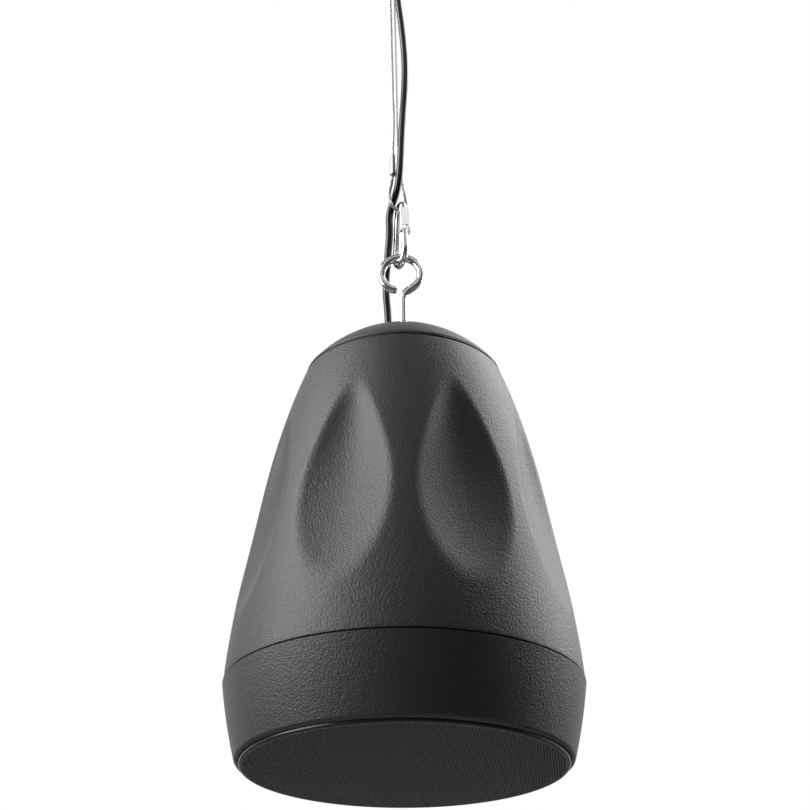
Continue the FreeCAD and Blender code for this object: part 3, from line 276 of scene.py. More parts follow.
# For each slot of the record: name, two near colours, the size in mm of their clouds, least and
# most roughness, pattern with its size and height in mm, and values of the shader's own sockets
finishLooks = {
    # Black ABS, injection moulded in a grained tool: satin, leather creases, soft highlights
    "housing_plastic": {
        "name": "leatherGrainedAbs", "colours": ("#222223", "#272728"), "cloud": 3.0,
        "rough": (0.46, 0.54), "pattern": "grain", "size": 1.6, "height": 0.36,
        "sockets": {"Specular IOR Level": 0.4}},
    # Perforated steel under black powder coat: glossier than the plastic, faint orange peel
    "grille_steel": {
        "name": "powderCoatedPerforatedSteel", "colours": ("#171718", "#1b1b1c"), "cloud": 8,
        "rough": (0.27, 0.33), "pattern": "peel", "size": 1.2, "height": 0.012,
        "sockets": {"Specular IOR Level": 0.35}},
    # Moulded EPDM: dull, greyish black with a fine bloom
    "seal_rubber": {
        "name": "mouldedRubber", "colours": ("#161617", "#1d1d1e"), "cloud": 12,
        "rough": (0.62, 0.78), "pattern": "peel", "size": 0.7, "height": 0.01},
    # Drawn stainless wire, polished: mirror-like with faint lengthwise lines
    "bright_steel": {
        "name": "polishedStainlessWire", "colours": ("#d3d3d1", "#dededc"), "cloud": 6,
        "rough": (0.10, 0.20), "pattern": "drawn", "size": 0.35, "height": 0.002,
        "sockets": {"Metallic": 1.0}},
    # Galvanised rope wire: pale, silky, each strand striped by its wires, drawn coarse to show
    "rope_steel": {
        "name": "galvanisedRopeWire", "colours": ("#adaead", "#bebfbd"), "cloud": 4,
        "rough": (0.38, 0.50), "pattern": "wires", "size": 6.5, "wires": 6.0, "height": 0.05,
        "space": "UV", "sockets": {"Metallic": 1.0}},
    # Pressed aluminium sleeve: matt pale grey with faint die lines
    "ferrule_aluminium": {
        "name": "pressedAluminium", "colours": ("#96989a", "#a4a6a8"), "cloud": 5,
        "rough": (0.30, 0.42), "pattern": "drawn", "size": 0.5, "height": 0.006,
        "sockets": {"Metallic": 1.0}},
    # Zinc-plated steel hardware: cool grey, lightly clouded
    "zinc_steel": {
        "name": "zincPlatedSteel", "colours": ("#b4babf", "#c5cace"), "cloud": 3,
        "rough": (0.24, 0.38), "pattern": "peel", "size": 0.8, "height": 0.004,
        "sockets": {"Metallic": 1.0}},
    # Ceiling plate under white powder coat: even, eggshell
    "ceiling_paint": {
        "name": "whitePowderCoat", "colours": ("#dfdfdb", "#e6e6e3"), "cloud": 30,
        "rough": (0.40, 0.50), "pattern": "peel", "size": 1.3, "height": 0.015},
    # Extruded PVC jacket: near black, glossy enough for one long highlight
    "cable_jacket": {
        "name": "extrudedPvc", "colours": ("#141415", "#19191a"), "cloud": 20,
        "rough": (0.20, 0.28), "pattern": "drawn", "size": 0.9, "height": 0.008,
        "sockets": {"Specular IOR Level": 0.35}},
    # Moulded polyamide: black, slightly mottled satin
    "black_nylon": {
        "name": "mouldedNylon", "colours": ("#1b1b1c", "#222223"), "cloud": 6,
        "rough": (0.42, 0.56), "pattern": "peel", "size": 0.6, "height": 0.008},
    # Terminal block in polyamide: pale grey, smooth satin
    "terminal_plastic": {
        "name": "paleGreyNylon", "colours": ("#c9c7bf", "#d3d1c9"), "cloud": 8,
        "rough": (0.40, 0.50), "pattern": "peel", "size": 0.6, "height": 0.008},
    # Stacked silicon steel sheets 0.5 mm thick: dark, with fine parallel edges
    "core_steel": {
        "name": "laminatedCoreSteel", "colours": ("#4b4e54", "#5b5e63"), "cloud": 5,
        "rough": (0.40, 0.55), "pattern": "wraps", "size": 0.5, "height": 0.04, "across": "X",
        "sockets": {"Metallic": 0.8}},
    # Polyester tape over the winding: amber, in overlapping turns
    "winding_tape": {
        "name": "polyesterTape", "colours": ("#b5852c", "#c2933a"), "cloud": 6,
        "rough": (0.22, 0.34), "pattern": "wraps", "size": 6.0, "height": 0.05},
    # Enamelled copper: warm metal under clear varnish, in fine turns
    "copper_wire": {
        "name": "enamelledCopper", "colours": ("#a9582a", "#bd6a36"), "cloud": 3,
        "rough": (0.22, 0.32), "pattern": "wraps", "size": 0.6, "height": 0.12,
        "sockets": {"Metallic": 1.0, "Coat Weight": 0.5}},
    # Glass-epoxy laminate: green solder mask over a faint weave
    "board_laminate": {
        "name": "glassEpoxyBoard", "colours": ("#24522f", "#2c5f38"), "cloud": 5,
        "rough": (0.28, 0.38), "pattern": "weave", "size": 0.8, "height": 0.01},
    # Dipped film capacitors: brick red epoxy, glossy
    "capacitor_film": {
        "name": "dippedEpoxy", "colours": ("#7b2c22", "#87372b"), "cloud": 5,
        "rough": (0.24, 0.36), "pattern": "peel", "size": 2.0, "height": 0.03},
    # Fired ceramic resistor body: chalky off-white
    "resistor_ceramic": {
        "name": "unglazedCeramic", "colours": ("#cfc9bb", "#dcd6c9"), "cloud": 3,
        "rough": (0.75, 0.88), "pattern": "peel", "size": 0.5, "height": 0.02},
    # Polyester wadding: pale grey, matt, with loose crossing fibres, drawn coarse to show
    "wadding_fibre": {
        "name": "polyesterWadding", "colours": ("#8d8f8f", "#a5a6a5"), "cloud": 9,
        "rough": (0.90, 1.0), "pattern": "fibre", "size": 1.6, "height": 0.8,
        "sockets": {"Sheen Weight": 0.4}},
    # Acoustic scrim: black plain weave, its threads drawn 0.8 mm apart so that they show
    "grille_fabric": {
        "name": "acousticScrim", "colours": ("#0d0d0e", "#121213"), "cloud": 20,
        "rough": (0.85, 0.95), "pattern": "weave", "size": 0.8, "height": 0.08,
        "sockets": {"Sheen Weight": 0.15}},
    # Stamped loudspeaker frame under black epoxy paint: smooth semi-gloss
    "frame_paint": {
        "name": "blackEpoxyPaint", "colours": ("#1a1a1b", "#202021"), "cloud": 15,
        "rough": (0.34, 0.46), "pattern": "peel", "size": 1.0, "height": 0.01},
    # Turned mild steel, bright zinc plated: faint turning lines
    "pole_steel": {
        "name": "turnedPlatedSteel", "colours": ("#aab0b5", "#bac0c4"), "cloud": 5,
        "rough": (0.26, 0.38), "pattern": "wraps", "size": 0.4, "height": 0.004,
        "sockets": {"Metallic": 1.0}},
    # Sintered ferrite: charcoal, ground faces with fine speckle
    "ferrite": {
        "name": "sinteredFerrite", "colours": ("#2a2b2e", "#37383b"), "cloud": 1.2,
        "rough": (0.48, 0.64), "pattern": "peel", "size": 0.5, "height": 0.02},
    # Pressed paper pulp, dyed black: matt with felted fibres
    "cone_paper": {
        "name": "pressedPaperPulp", "colours": ("#141414", "#1e1e1d"), "cloud": 4,
        "rough": (0.80, 0.92), "pattern": "fibre", "size": 1.5, "height": 0.08},
    # Varnished cotton: amber, open plain weave
    "spider_cloth": {
        "name": "varnishedCotton", "colours": ("#a67c35", "#b98d45"), "cloud": 6,
        "rough": (0.60, 0.75), "pattern": "weave", "size": 0.7, "height": 0.1},
    # Tweeter parts in smooth moulded ABS: black, low sheen
    "tweeter_plastic": {
        "name": "smoothBlackAbs", "colours": ("#171718", "#1d1d1e"), "cloud": 10,
        "rough": (0.26, 0.34), "pattern": "peel", "size": 1.5, "height": 0.004},
    # Coated silk dome: soft sheen over a very fine weave
    "dome_silk": {
        "name": "coatedSilk", "colours": ("#1d1a18", "#26221f"), "cloud": 4,
        "rough": (0.46, 0.58), "pattern": "weave", "size": 0.4, "height": 0.01,
        "sockets": {"Sheen Weight": 0.25}},
}


# Colour and roughness each run between two near values by a noise, and the pattern is the bump
def makeFinish(look):
    material = bpy.data.materials.new(look["name"])
    material.use_nodes = True
    tree = material.node_tree
    shader = tree.nodes["Principled BSDF"]
    for name, value in look.get("sockets", {}).items():
        shader.inputs[name].default_value = value
    where = addNode(tree, "TexCoord")
    shape = patternShape
    cloud, mottle = [addNode(tree, "TexNoise", {
        "Vector": where["Object"], "Scale": perMetre(size), "Detail": shape["cloudDetail"]})[0]
        for size in (look["cloud"], look["cloud"] * shape["mottleShare"])]
    first, second = look["colours"]
    colour = addNode(tree, "Mix", {0: cloud, 6: linear(first), 7: linear(second)},
                     data_type="RGBA")[2]
    least, most = look["rough"]
    rough = addNode(tree, "MapRange", {
        "Value": mottle, "From Min": shape["mottleLow"], "From Max": shape["mottleHigh"],
        "To Min": least, "To Max": most})["Result"]
    height = patterns[look["pattern"]](tree, where[look.get("space", "Object")], look)
    bump = addNode(tree, "Bump", {
        "Height": height, "Distance": look["height"] / 1000, "Strength": 1.0})["Normal"]
    tree.links.new(colour, shader.inputs["Base Color"])
    tree.links.new(rough, shader.inputs["Roughness"])
    tree.links.new(bump, shader.inputs["Normal"])
    return material


finishes = {slot: makeFinish(look) for slot, look in finishLooks.items()}


# Every carried-over node takes the finish of its slot in the record
def dressNodes():
    for part in frame["record"]["subparts"]:
        for slot in frame["nodes"][part["node"]].material_slots:
            slot.material = finishes[part["material_slot"]]


dressNodes()
print("stage: finishes,", len(finishes))


# Cords. Their points are the route from end to end, in metres about the speaker's axis, with
# heights above the shell's top edge.

cordRoute = {
    "curveSteps": 16,
    "curveOrder": 3,
    "sideStart": (0.3, 1.0, 0.1),  # any direction that the cords don't start along
}


# Points along one smooth NURBS curve that has the route's points as its control points
def routeLine(points):
    data = bpy.data.curves.new("route", "CURVE")
    data.dimensions = "3D"
    data.resolution_u = cordRoute["curveSteps"]
    spline = data.splines.new("NURBS")
    spline.points.add(len(points) - 1)
    placed = toFrame(np.array(points) * 1000 + (0, 0, seam["toTopEdge"]))
    spline.points.foreach_set("co", np.c_[placed, np.ones(len(placed))].ravel())
    spline.order_u = cordRoute["curveOrder"]
    spline.use_endpoint_u = True
    route = bpy.data.objects.new("route", data)
    bpy.context.scene.collection.objects.link(route)
    mesh = bpy.data.meshes.new_from_object(route)
    line = np.empty((len(mesh.vertices), 3), np.float32)
    mesh.vertices.foreach_get("co", line.ravel())
    bpy.data.objects.remove(route)
    bpy.data.curves.remove(data)
    bpy.data.meshes.remove(mesh)
    return line.astype(float)


# The line again with even steps, and how far along it each point is
def evenly(line, step):
    along = np.r_[0, np.cumsum(np.linalg.norm(np.diff(line, axis=0), axis=1))]
    marks = np.linspace(0, along[-1], math.ceil(along[-1] / step) + 1)
    return np.stack([np.interp(marks, along, line[:, k]) for k in range(3)], -1), marks


# Two directions across the line at each point: the last point's side less its share along the
# new heading, so that they don't spin, and heading x side. Each needs the one before it.
def carriedFrames(line):
    heading = np.gradient(line, axis=0)
    heading /= np.linalg.norm(heading, axis=1)[:, None]
    side = np.zeros_like(line)
    side[0] = np.cross(heading[0], cordRoute["sideStart"])
    side[0] /= np.linalg.norm(side[0])
    for i in range(1, len(line)):
        side[i] = side[i - 1] - heading[i] * (side[i - 1] @ heading[i])
        side[i] /= np.linalg.norm(side[i])
    return side, np.cross(heading, side)


# Ring points: centre + radius * (cos a * side + sin a * up)
def tubePoints(line, side, up, radius, sides):
    angle = aroundAngles(sides)[None, :, None]
    ring = np.cos(angle) * side[:, None] + np.sin(angle) * up[:, None]
    return (line[:, None] + radius * ring).reshape(-1, 3)


ropeLook = {
    "diameter": 0.0032,
    "strands": 6,
    "strandShare": 0.335,  # of the rope's diameter
    "layLength": 0.021,
    "step": 0.0016,
    "sides": 8,
    "sharpFrom": 80,
    "points": [
        (-0.0089, -0.0035, 0.227),
        (-0.0089, -0.0035, 0.244),
        (-0.0077, -0.0036, 0.276),
        (-0.0089, -0.0037, 0.307),
        (-0.01148, -0.00459, 0.4445),
        (-0.0118, -0.0047, 0.4617),
        (-0.0106, -0.0019, 0.4649),
        (-0.0092, 0.0019, 0.4649),
        (-0.0080, 0.0047, 0.4617),
        (-0.00768, 0.00453, 0.4445),
        (-0.0051, 0.0032, 0.307),
        (-0.0050, 0.0026, 0.26),
        (-0.0026, 0.0026, 0.23),
        (0.0003, 0.0032, 0.206),
        (0.0035, 0.0030, 0.191),
        (0.0032, 0.0028, 0.17875),
        (-0.0096, -0.0040, 0.17875),
        (-0.0132, -0.0059, 0.192),
        (-0.0089, -0.0035, 0.212),
        (-0.0089, -0.0035, 0.226),
    ],
}


# Strands laid round a core strand: each runs round the line once in a lay length, and its UV is
# (mm along, share of the way round)
def makeRope(look):
    line, marks = evenly(routeLine(look["points"]), look["step"])
    side, up = carriedFrames(line)
    sides = look["sides"]
    strand = look["diameter"] * look["strandShare"] / 2
    reach = look["diameter"] / 2 - strand
    points, faces = [], []
    for number in range(look["strands"] + 1):
        phase = 2 * math.pi * (marks / look["layLength"] + number / look["strands"])
        offset = reach if number < look["strands"] else 0  # the last one is the core
        middle = line + offset * (np.cos(phase)[:, None] * side + np.sin(phase)[:, None] * up)
        points.append(tubePoints(middle, side, up, strand, sides))
        faces.append(gridFaces(len(line), sides, False, True, number * len(line) * sides))
    around = np.tile(np.arange(sides) / sides, len(line))
    uv = np.tile(np.c_[np.repeat(marks * 1000, sides), around], (look["strands"] + 1, 1))
    rope = linkMesh("ropeStrands", np.concatenate(points), [np.concatenate(faces)], uv,
                    look["sharpFrom"])
    dress(rope, "rope_steel")
    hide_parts("suspension_rope")


cableLook = {
    "diameter": 0.0066,
    "step": 0.002,
    "sides": 24,
    "sharpFrom": 60,
    "points": [
        (-0.0130, 0.0170, 0.059),
        (-0.0130, 0.0170, 0.075),
        (-0.0156, 0.0115, 0.102),
        (-0.0140, 0.0085, 0.13),
        (-0.0118, 0.0055, 0.158),
        (-0.0128, 0.0038, 0.179),
        (-0.0046, -0.0030, 0.199),
        (-0.0022, -0.0072, 0.222),
        (-0.0006, -0.0069, 0.27),
        (0.0032, -0.0062, 0.33),
        (0.0009, -0.0074, 0.38),
        (-0.0054, -0.0090, 0.435),
        (-0.0066, -0.0150, 0.472),
        (-0.0066, -0.0150, 0.5),
    ],
}


# One round tube along the line, closed by a flat face at each end
def makeCable(look):
    line, marks = evenly(routeLine(look["points"]), look["step"])
    side, up = carriedFrames(line)
    sides = look["sides"]
    points = tubePoints(line, side, up, look["diameter"] / 2, sides)
    ends = np.stack([np.arange(sides)[::-1], len(points) - sides + np.arange(sides)])
    cable = linkMesh("cableJacket", points, [gridFaces(len(line), sides, False, True), ends],
                     sharpFrom=look["sharpFrom"])
    dress(cable, "cable_jacket")
    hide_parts("speaker_cable")


makeRope(ropeLook)
makeCable(cableLook)
print("stage: rope and cable")


# Shell: a bell with eight teardrop hollows, one closed wall from the outer side over the top rim,
# down to the deck, through the deck's hole and back along the inner side

shellSize = {
    "seamRadius": 139.2,
    "neckRadius": 83.6,
    "height": 270.0,
    "wall": 3.0,
    "swell": 1.32,
    "neckShare": 0.13,
    "neckPower": 6,
    "lowGap": 0.6,
    "highGap": 1.1,
    "edgeRound": 0.6,
    "edgeRows": 4,
    "deckTop": 262.0,
    "deckLow": 258.0,
    "deckTopRing": 45.0,  # radii at which the deck has one more ring of points
    "deckLowRing": 40.0,
    "deckCorner": 0.4,
    "hole": 4.0,
    "hollows": 8,
    "hollowLow": 45.0,
    "hollowHigh": 220.0,
    "hollowDepth": 12.5,
    "hollowHalfWidth": 38.0,
    "hollowLean": 0.1,
    "hollowRound": 0.83,
    "hollowPoint": 2.48,
    "hollowSoft": 2.6,
    "columns": 480,
    "sideRows": 136,
    "innerRows": 30,
    "bosses": 6,
    "bossRadius": 6.0,
    "bossCircle": 122.0,
    "bossHeight": 26.0,
    "bossBore": 2.0,
    "bossFoot": 0.4,
    "bossTip": 0.6,
    "bossColumns": 20,
}


# seamRadius - (seamRadius - neckRadius) * (0.87 part^1.32 + 0.13 part^6), part = height / 270
def shellRadius(height, size=shellSize):
    part = np.maximum(height, 0) / size["height"]
    fall = ((1 - size["neckShare"]) * part ** size["swell"]
            + size["neckShare"] * part ** size["neckPower"])
    return size["seamRadius"] - (size["seamRadius"] - size["neckRadius"]) * fall


# How far up the hollows a height is, 0 to 1, and how deep their middles are there:
# 4 * depth * part * (1 - part), a little less towards the top
def hollowBow(height, size=shellSize):
    part = (height - size["hollowLow"]) / (size["hollowHigh"] - size["hollowLow"])
    return part, 4 * size["hollowDepth"] * part * (1 - part) * (1 - size["hollowLean"] * part)


# Depth of the nearest hollow: the bow along the height less a square of the distance across,
# eased to zero over a short width so that its edge is soft, as a moulded one is
def hollowDepth(angle, height, size=shellSize):
    part, bow = hollowBow(height, size)
    bend = size["hollowDepth"] / size["hollowHalfWidth"] ** 2 * (
        size["hollowRound"] + size["hollowPoint"] * part ** 4)
    spacing = 2 * math.pi / size["hollows"]
    offset = (angle / spacing) % 1 - 0.5
    across = shellRadius(height, size) * offset * spacing
    press = bow - bend * across ** 2
    soft = size["hollowSoft"]
    eased = (press + soft) ** 2 / (4 * soft)
    return np.where(press > soft, press, np.where(press > -soft, eased, 0.0))


# Rows of (radius, height) once round the wall's section, and each row's share of the hollows
def shellProfile(size):
    low = size["lowGap"]
    high = size["height"] - size["highGap"]
    edge = size["edgeRound"]
    arc = np.radians(np.linspace(0, 90, size["edgeRows"]))
    side = np.linspace(low + edge, high - edge, size["sideRows"])
    inner = np.linspace(size["deckLow"], low, size["innerRows"])
    bottom = np.stack([shellRadius(low) - edge + edge * np.sin(arc),
                       low + edge - edge * np.cos(arc)], -1)
    top = np.stack([shellRadius(high) - edge + edge * np.cos(arc),
                    high - edge + edge * np.sin(arc)], -1)
    recess = float(shellRadius(size["deckTop"])) - size["wall"]
    corner, hole, deckTop, deckLow = [size[k] for k in ("deckCorner", "hole", "deckTop", "deckLow")]
    deck = [(recess + corner, high), (recess, high - corner), (recess, deckTop + corner),
            (recess - corner, deckTop), (size["deckTopRing"], deckTop), (hole + corner, deckTop),
            (hole, deckTop - corner), (hole, deckLow), (size["deckLowRing"], deckLow)]
    rows = [(bottom[:-1], 0), (np.stack([shellRadius(side), side], -1), 1), (top[1:], 0),
            (np.array(deck), 0), (np.stack([shellRadius(inner) - size["wall"], inner], -1), 1)]
    return (np.concatenate([points for points, share in rows]),
            np.concatenate([np.full(len(points), share) for points, share in rows]))


# The turned profile, each row pressed in by its share of the hollows, and the screw bosses on a
# circle inside
def makeShell(size):
    profile, share = shellProfile(size)
    angle = aroundAngles(size["columns"])[None, :]
    height = profile[:, 1:]
    press = hollowDepth(angle, height) * share[:, None]
    parts = [(polar(profile[:, :1] - press, angle, height).reshape(-1, 3),
              gridFaces(len(profile), size["columns"], True, True))]
    low = size["lowGap"] / 2
    high = low + size["bossHeight"]
    bore, wide, foot, tip = [size[k] for k in ("bossBore", "bossRadius", "bossFoot", "bossTip")]
    outline = [(bore, low), (wide - foot, low), (wide, low + foot),
               (wide, high - tip), (wide - tip, high), (bore, high)]
    for number in range(size["bosses"]):
        turn = 2 * math.pi * (number + 0.5) / size["bosses"]
        parts.append(ringSolid(outline, size["bossColumns"], size["bossCircle"] * math.cos(turn),
                               size["bossCircle"] * math.sin(turn)))
    starts = np.cumsum([0] + [len(points) for points, faces in parts])
    points = np.concatenate([points for points, faces in parts])
    faces = np.concatenate([faces + start for (_, faces), start in zip(parts, starts)])
    shell = linkMesh("shellMoulding", toFrame(points), [faces])
    dress(shell, "housing_plastic")
    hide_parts("rear_housing")


makeShell(shellSize)
print("stage: shell")


# Grille: a pan of steel sheet, perforated on a triangular lattice

grilleSize = {
    "face": -62.5,
    "sheet": 1.0,
    "panRadius": 125.03,
    "edgeRound": 1.6,
    "edgeRows": 6,
    "rimTop": -53.5,
    "rimCorner": 0.2,
    "pitch": 2.35,
    "holeReach": 0.87,  # from a hole's middle to its corners
    "holedRadius": 121.6,
    "flatRadius": 123.2,
    "lap": 0.1,  # the rim reaches this far under the face
    "lapDrop": 0.004,  # and lies this much lower
    "rowTurn": 83.6,
    "spareRows": 2,  # rows of the lattice past the flat
    "columns": 288,
    "faceSharpFrom": 20,
    "rimSharpFrom": 50,
}


# Hexagonal holes at the points i * a + j * b of a lattice. Between two neighbours lies a quad,
# between three a triangle, and each hole has six walls. What reaches past the flat is drawn in
# to it.
def makeGrilleFace(size):
    rowStep = size["pitch"] * math.cos(math.radians(30))
    count = math.ceil(size["flatRadius"] / rowStep) + size["spareRows"]
    side = 2 * count + 1
    i, j = np.meshgrid(np.arange(side) - count, np.arange(side) - count, indexing="ij")
    turn = math.radians(size["rowTurn"])
    step = [np.array([math.cos(way), math.sin(way)]) for way in (turn, turn + math.pi / 3)]
    centre = size["pitch"] * (i[..., None] * step[0] + j[..., None] * step[1])
    corner = turn + math.pi / 6 + np.arange(6) * math.pi / 3
    rim = centre[:, :, None] + size["holeReach"] * np.stack([np.cos(corner), np.sin(corner)], -1)
    reach = np.linalg.norm(rim, axis=-1, keepdims=True)
    past = reach.ravel() > size["flatRadius"]
    rim = (rim * np.minimum(1, size["flatRadius"] / reach)).reshape(-1, 2)
    number = np.arange(side * side * 6).reshape(side, side, 6)

    def spread(*picks):  # each pick is (shift of i, shift of j, corner)
        inner = slice(1, -1)
        return np.stack([np.roll(number, (-di, -dj), (0, 1))[inner, inner, k % 6].ravel()
                         for di, dj, k in picks], -1)

    holed = np.linalg.norm(centre, axis=-1) < size["holedRadius"]
    holes, closed = number[holed], number[~holed]
    quads = [spread((0, 0, k - 1), (0, 0, k), (di, dj, k + 2), (di, dj, k + 3))
             for k, (di, dj) in enumerate([(1, 0), (0, 1), (-1, 1)])]
    quads += [closed[:, [3, 2, 1, 0]], closed[:, [5, 4, 3, 0]]]
    threes = [spread((0, 0, 0), (0, 1, 4), (1, 0, 2)), spread((0, 0, 1), (-1, 1, 5), (0, 1, 3))]
    sets = [np.concatenate(quads), np.concatenate(threes)]
    sets = [faces[~past[faces].all(axis=1)] for faces in sets]
    back = holes + number.size
    walls = np.stack([np.roll(holes, -1, 1), holes, back, np.roll(back, -1, 1)], -1)
    sets[0] = np.concatenate([sets[0], walls.reshape(-1, 4)])
    height = np.repeat([size["face"], size["face"] + size["sheet"]], number.size)
    points = np.c_[np.concatenate([rim, rim]), height]
    used = np.unique(np.concatenate([faces.ravel() for faces in sets]))
    place = np.zeros(len(points), int)
    place[used] = np.arange(len(used))
    face = linkMesh("grilleFace", toFrame(points[used]), [place[faces] for faces in sets],
                    sharpFrom=size["faceSharpFrom"])
    dress(face, "grille_steel")
    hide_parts("grille")
    return len(holes)


# Points of a quarter of the pan's bend, radius * (sin a, -cos a) about the bend's centre
def bendPoints(size, radius):
    arc = np.radians(np.linspace(0, 90, size["edgeRows"]))
    return [(size["panRadius"] - size["edgeRound"] + radius * math.sin(a),
             size["face"] + size["edgeRound"] - radius * math.cos(a)) for a in arc]


# The pan's bent edge and its upright rim, a turned outline one sheet thick
def makeGrilleRim(size):
    top, corner = size["rimTop"], size["rimCorner"]
    outside, inside = size["panRadius"], size["panRadius"] - size["sheet"]
    inner = size["flatRadius"] - size["lap"]
    outline = [(inner, size["face"] - size["lapDrop"])]
    outline += bendPoints(size, size["edgeRound"])
    outline += [(outside, top - corner), (outside - corner, top),
                (inside + corner, top), (inside, top - corner)]
    outline += bendPoints(size, size["edgeRound"] - size["sheet"])[::-1]
    outline += [(inner, size["face"] + size["sheet"])]
    points, faces = ringSolid(outline, size["columns"])
    rim = linkMesh("grilleRim", toFrame(points), [faces], sharpFrom=size["rimSharpFrom"])
    dress(rim, "grille_steel")


holeCount = makeGrilleFace(grilleSize)
makeGrilleRim(grilleSize)
print("stage: grille,", holeCount, "holes")


# Soft parts behind the grille and inside the shell

clothSize = {"radius": 122.03, "low": -61.5, "thickness": 0.4, "rings": 40, "columns": 180}


# Flat disc with two faces: rings of equal step, closed by a fan at the middle of each face
def makeCloth(size):
    radius = size["radius"] * np.arange(1, size["rings"] + 1) / size["rings"]
    low, high = size["low"], size["low"] + size["thickness"]
    rows = np.concatenate([radius, radius[::-1]])[:, None]
    height = np.repeat([low, high], size["rings"])[:, None]
    body = polar(rows, aroundAngles(size["columns"])[None, :], height).reshape(-1, 3)
    points = np.concatenate([body, [(0, 0, low), (0, 0, high)]])
    columns = np.arange(size["columns"])
    following = (columns + 1) % size["columns"]
    middle = np.full_like(columns, len(body))
    last = len(body) - size["columns"]
    fans = np.concatenate([np.stack([middle, following, columns], -1),
                           np.stack([middle + 1, last + columns, last + following], -1)])
    quads = gridFaces(2 * size["rings"], size["columns"], False, True)
    cloth = linkMesh("grilleScrim", toFrame(points), [quads, fans])
    dress(cloth, "grille_fabric")
    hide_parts("grille_cloth")


waddingSize = {
    "low": 60.0,
    "high": 205.0,
    "heightShare": 0.995,  # of the way from low to high
    "thickness": 12.0,
    "gap": 0.7,  # to the shell's inner side
    "boxiness": 0.45,  # power that squares the oval off
    "lump": 0.14,
    "waves": ((11, 0.05, 0), (17, -0.09, 1.3), (5, 0.13, 2.1)),  # times round, per mm up, start
    "rows": 48,
    "columns": 240,
    "sharpFrom": 80,
    "fill": 0.4,
}


# Ring whose section is a squared-off oval between the two sides of the lining's space. The inner
# side is dented by three slow waves round the ring and up it.
def makeWadding(size):
    loop = aroundAngles(size["rows"])[:, None]
    angle = aroundAngles(size["columns"])[None, :]
    up, out = [np.sign(wave) * np.abs(wave) ** size["boxiness"]
               for wave in (np.cos(loop), np.sin(loop))]
    half = (size["high"] - size["low"]) / 2 * size["heightShare"]
    height = (size["low"] + size["high"]) / 2 + up * half
    outer = shellRadius(height) - shellSize["wall"] - hollowBow(height)[1] - size["gap"]
    lumps = sum(np.sin(turns * angle + climb * height + start)
                for turns, climb, start in size["waves"]) / len(size["waves"])
    depth = (1 - out) / 2 * size["thickness"] * (1 - size["lump"] * (1 + lumps))
    points = polar(outer - depth, angle, height).reshape(-1, 3)
    faces = gridFaces(size["rows"], size["columns"], True, True)[:, ::-1]
    wadding = linkMesh("shellLining", toFrame(points), [faces], sharpFrom=size["sharpFrom"])
    dress(wadding, "wadding_fibre")
    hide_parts("damping_wadding")


# Turned soft ring that goes with the cone at its inner edge and stays with the frame at its
# outer one: its share of the frame is a smooth step of the radius, share^2 * (3 - 2 share)
def makeFollower(name, node, slot, outline, size, end):
    points, faces = ringSolid(outline, size["columns"])
    start = size["start"]
    ring = linkMesh(name, toFrame(points), [faces], sharpFrom=size["sharpFrom"])
    ring.data.materials.append(finishes[slot])
    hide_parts(node)
    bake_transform(ring, "cone", "root", start=toFrame((start, 0, 0)).tolist(),
             end=toFrame((end, 0, 0)).tolist())
    radius = np.hypot(points[:, 0], points[:, 1])
    share = np.clip((radius - start) / (end - start), 0, 1)
    share = share * share * (3 - 2 * share)
    weights = ring.data.attributes["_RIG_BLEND"].data
    weights.foreach_set("value", share.astype(np.float32))


surroundSize = {"start": 58.3, "end": 65.7, "top": -46.9, "thickness": 0.8, "rows": 24,
                "columns": 180, "sharpFrom": 60}


# Half roll: two half circles about the gap's middle, a thickness apart
def makeSurround(size):
    middle = (size["start"] + size["end"]) / 2
    wide = (size["end"] - size["start"]) / 2
    angle = np.linspace(0, math.pi, size["rows"])
    front, back = [np.stack([middle - reach * np.cos(angle), size["top"] - reach * np.sin(angle)],
                            -1) for reach in (wide, wide - size["thickness"])]
    makeFollower("coneSurround", "surround", "seal_rubber", np.concatenate([front, back[::-1]]),
                 size, size["end"])


spiderSize = {"start": 13.3, "waveEnd": 40.0, "end": 44.0, "low": -16.3, "thickness": 0.8,
              "waveHeight": 2.0, "waves": 4, "rows": 72, "columns": 180, "sharpFrom": 60}


# Corrugated disc: height = low + waveHeight * (1 + cos(2 pi waves part)) / 2 up to its glued rim
def makeSpider(size):
    radius = np.linspace(size["start"], size["waveEnd"], size["rows"])
    part = (radius - size["start"]) / (size["waveEnd"] - size["start"])
    wave = (1 + np.cos(2 * math.pi * size["waves"] * part)) / 2
    height = size["low"] + size["waveHeight"] * wave
    under = np.r_[np.stack([radius, height], -1), [(size["end"], height[-1])]]
    over = under[::-1] + (0, size["thickness"])
    makeFollower("coneSpider", "spider", "spider_cloth", np.concatenate([under, over]),
                 size, size["waveEnd"])


makeCloth(clothSize)
makeWadding(waddingSize)
makeSurround(surroundSize)
makeSpider(spiderSize)
print("stage: soft parts")


# Room: a pale floor, white surroundings, a soft lamp on each side, and two small cards in front
# above, which the eye hook's wire and the snap hook's gate mirror. Reflections find white behind,
# grey above and a dim room low in front.

roomLook = {
    "floorDrop": 1630.0,
    "floorRadius": 14000.0,
    "floorSides": 96,
    "floorColour": "#e9e9e6",
    "floorRough": 0.9,
    "floorGlow": 0.75,
    "white": (1.0, 1.0, 1.0, 1.0),
    "fill": 0.12,
    "glossFront": 0.08,
    "glossBack": 1.0,
    "frontEdge": -0.1,
    "backEdge": 0.6,
    "glossTop": 0.26,
    "topLow": 0.12,
    "topHigh": 0.6,
}


# 1 where a ray comes from the camera or through glass, else 0
def seenDirectly(tree, ray):
    return addNode(tree, "Math", {0: ray["Is Camera Ray"], 1: ray["Is Transmission Ray"]},
                   operation="MAXIMUM")[0]


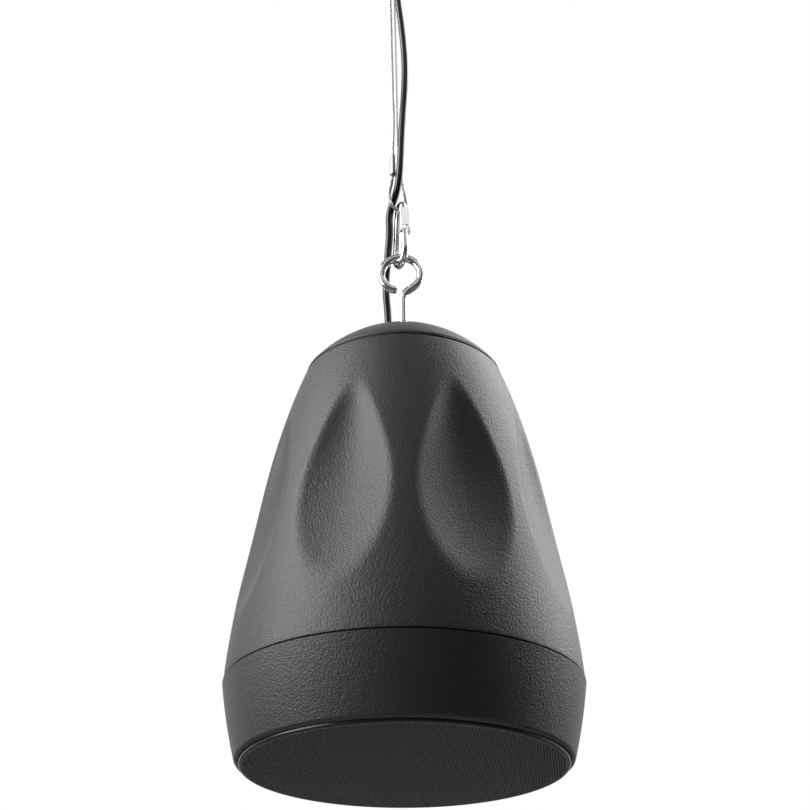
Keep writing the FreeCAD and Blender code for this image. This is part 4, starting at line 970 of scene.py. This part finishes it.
# Strength: white to the camera and through glass, a grey fill to everything else, and to
# reflections the brighter of a smooth step from front to back and one from level to above
def makeWorld(look):
    world = bpy.data.worlds.new("studio")
    bpy.context.scene.world = world
    world.use_nodes = True
    tree = world.node_tree
    ray = addNode(tree, "LightPath")
    part = addNode(tree, "SeparateXYZ", {0: addNode(tree, "TexCoord")["Generated"]})
    steps = [addNode(tree, "MapRange", {
        "Value": part[axis], "From Min": look[near], "From Max": look[far],
        "To Min": look["glossFront"], "To Max": look[most]}, interpolation_type="SMOOTHSTEP")[0]
        for axis, near, far, most in (("Y", "frontEdge", "backEdge", "glossBack"),
                                      ("Z", "topLow", "topHigh", "glossTop"))]
    mirrored = addNode(tree, "Math", {0: steps[0], 1: steps[1]}, operation="MAXIMUM")[0]
    plain = addNode(tree, "Mix", {0: seenDirectly(tree, ray), 2: look["fill"], 3: 1.0},
                    data_type="FLOAT")[0]
    level = addNode(tree, "Mix", {0: ray["Is Glossy Ray"], 2: plain, 3: mirrored},
                    data_type="FLOAT")[0]
    tree.links.new(level, tree.nodes["Background"].inputs["Strength"])
    tree.nodes["Background"].inputs["Color"].default_value = look["white"]


# Round disc of pale paper, which also glows to the camera and through glass, so that it shows
# near white and keeps the shadow
def makeFloor(look):
    points = polar(look["floorRadius"], aroundAngles(look["floorSides"]), -look["floorDrop"])
    floor = linkMesh("floor", toFrame(points), [np.arange(look["floorSides"])[None, :]])
    material = bpy.data.materials.new("palePaper")
    material.use_nodes = True
    tree = material.node_tree
    shader = tree.nodes["Principled BSDF"]
    seen = seenDirectly(tree, addNode(tree, "LightPath"))
    glow = addNode(tree, "Math", {0: seen, 1: look["floorGlow"]}, operation="MULTIPLY")[0]
    shader.inputs["Base Color"].default_value = linear(look["floorColour"])
    shader.inputs["Roughness"].default_value = look["floorRough"]
    shader.inputs["Emission Color"].default_value = look["white"]
    tree.links.new(glow, shader.inputs["Emission Strength"])
    floor.data.materials.append(material)


lampLooks = [
    {"name": "leftSoftbox", "place": (-1240, -420, 800), "aim": (0, 0, 120),
     "size": (1.0, 1.5), "watts": 47},
    {"name": "rightSoftbox", "place": (1050, 420, 1050), "aim": (0, 0, 140),
     "size": (0.9, 1.5), "watts": 28},
    {"name": "hookCard", "place": (-60, -1560, 1560), "aim": (0, 0, 440),
     "size": (0.8, 0.6), "watts": 1.2},
    {"name": "gateCard", "place": (946, -950, 1909), "aim": (1, -8, 431),
     "size": (0.5, 0.5), "watts": 0.75},
]


# Area lamp with its size in metres, turned from its place towards its aim
def makeLamp(look):
    data = bpy.data.lights.new(look["name"], "AREA")
    data.shape = "RECTANGLE"
    data.size, data.size_y = look["size"]
    data.energy = look["watts"]
    lamp = bpy.data.objects.new(look["name"], data)
    bpy.context.scene.collection.objects.link(lamp)
    place = Vector(toFrame(look["place"]))
    lamp.location = place
    heading = Vector(toFrame(look["aim"])) - place
    lamp.rotation_euler = heading.to_track_quat("-Z", "Y").to_euler()
    lamp.visible_camera = False


makeWorld(roomLook)
makeFloor(roomLook)
for lampLook in lampLooks:
    makeLamp(lampLook)
bpy.context.scene.view_settings.view_transform = "Standard"
print("stage: room")
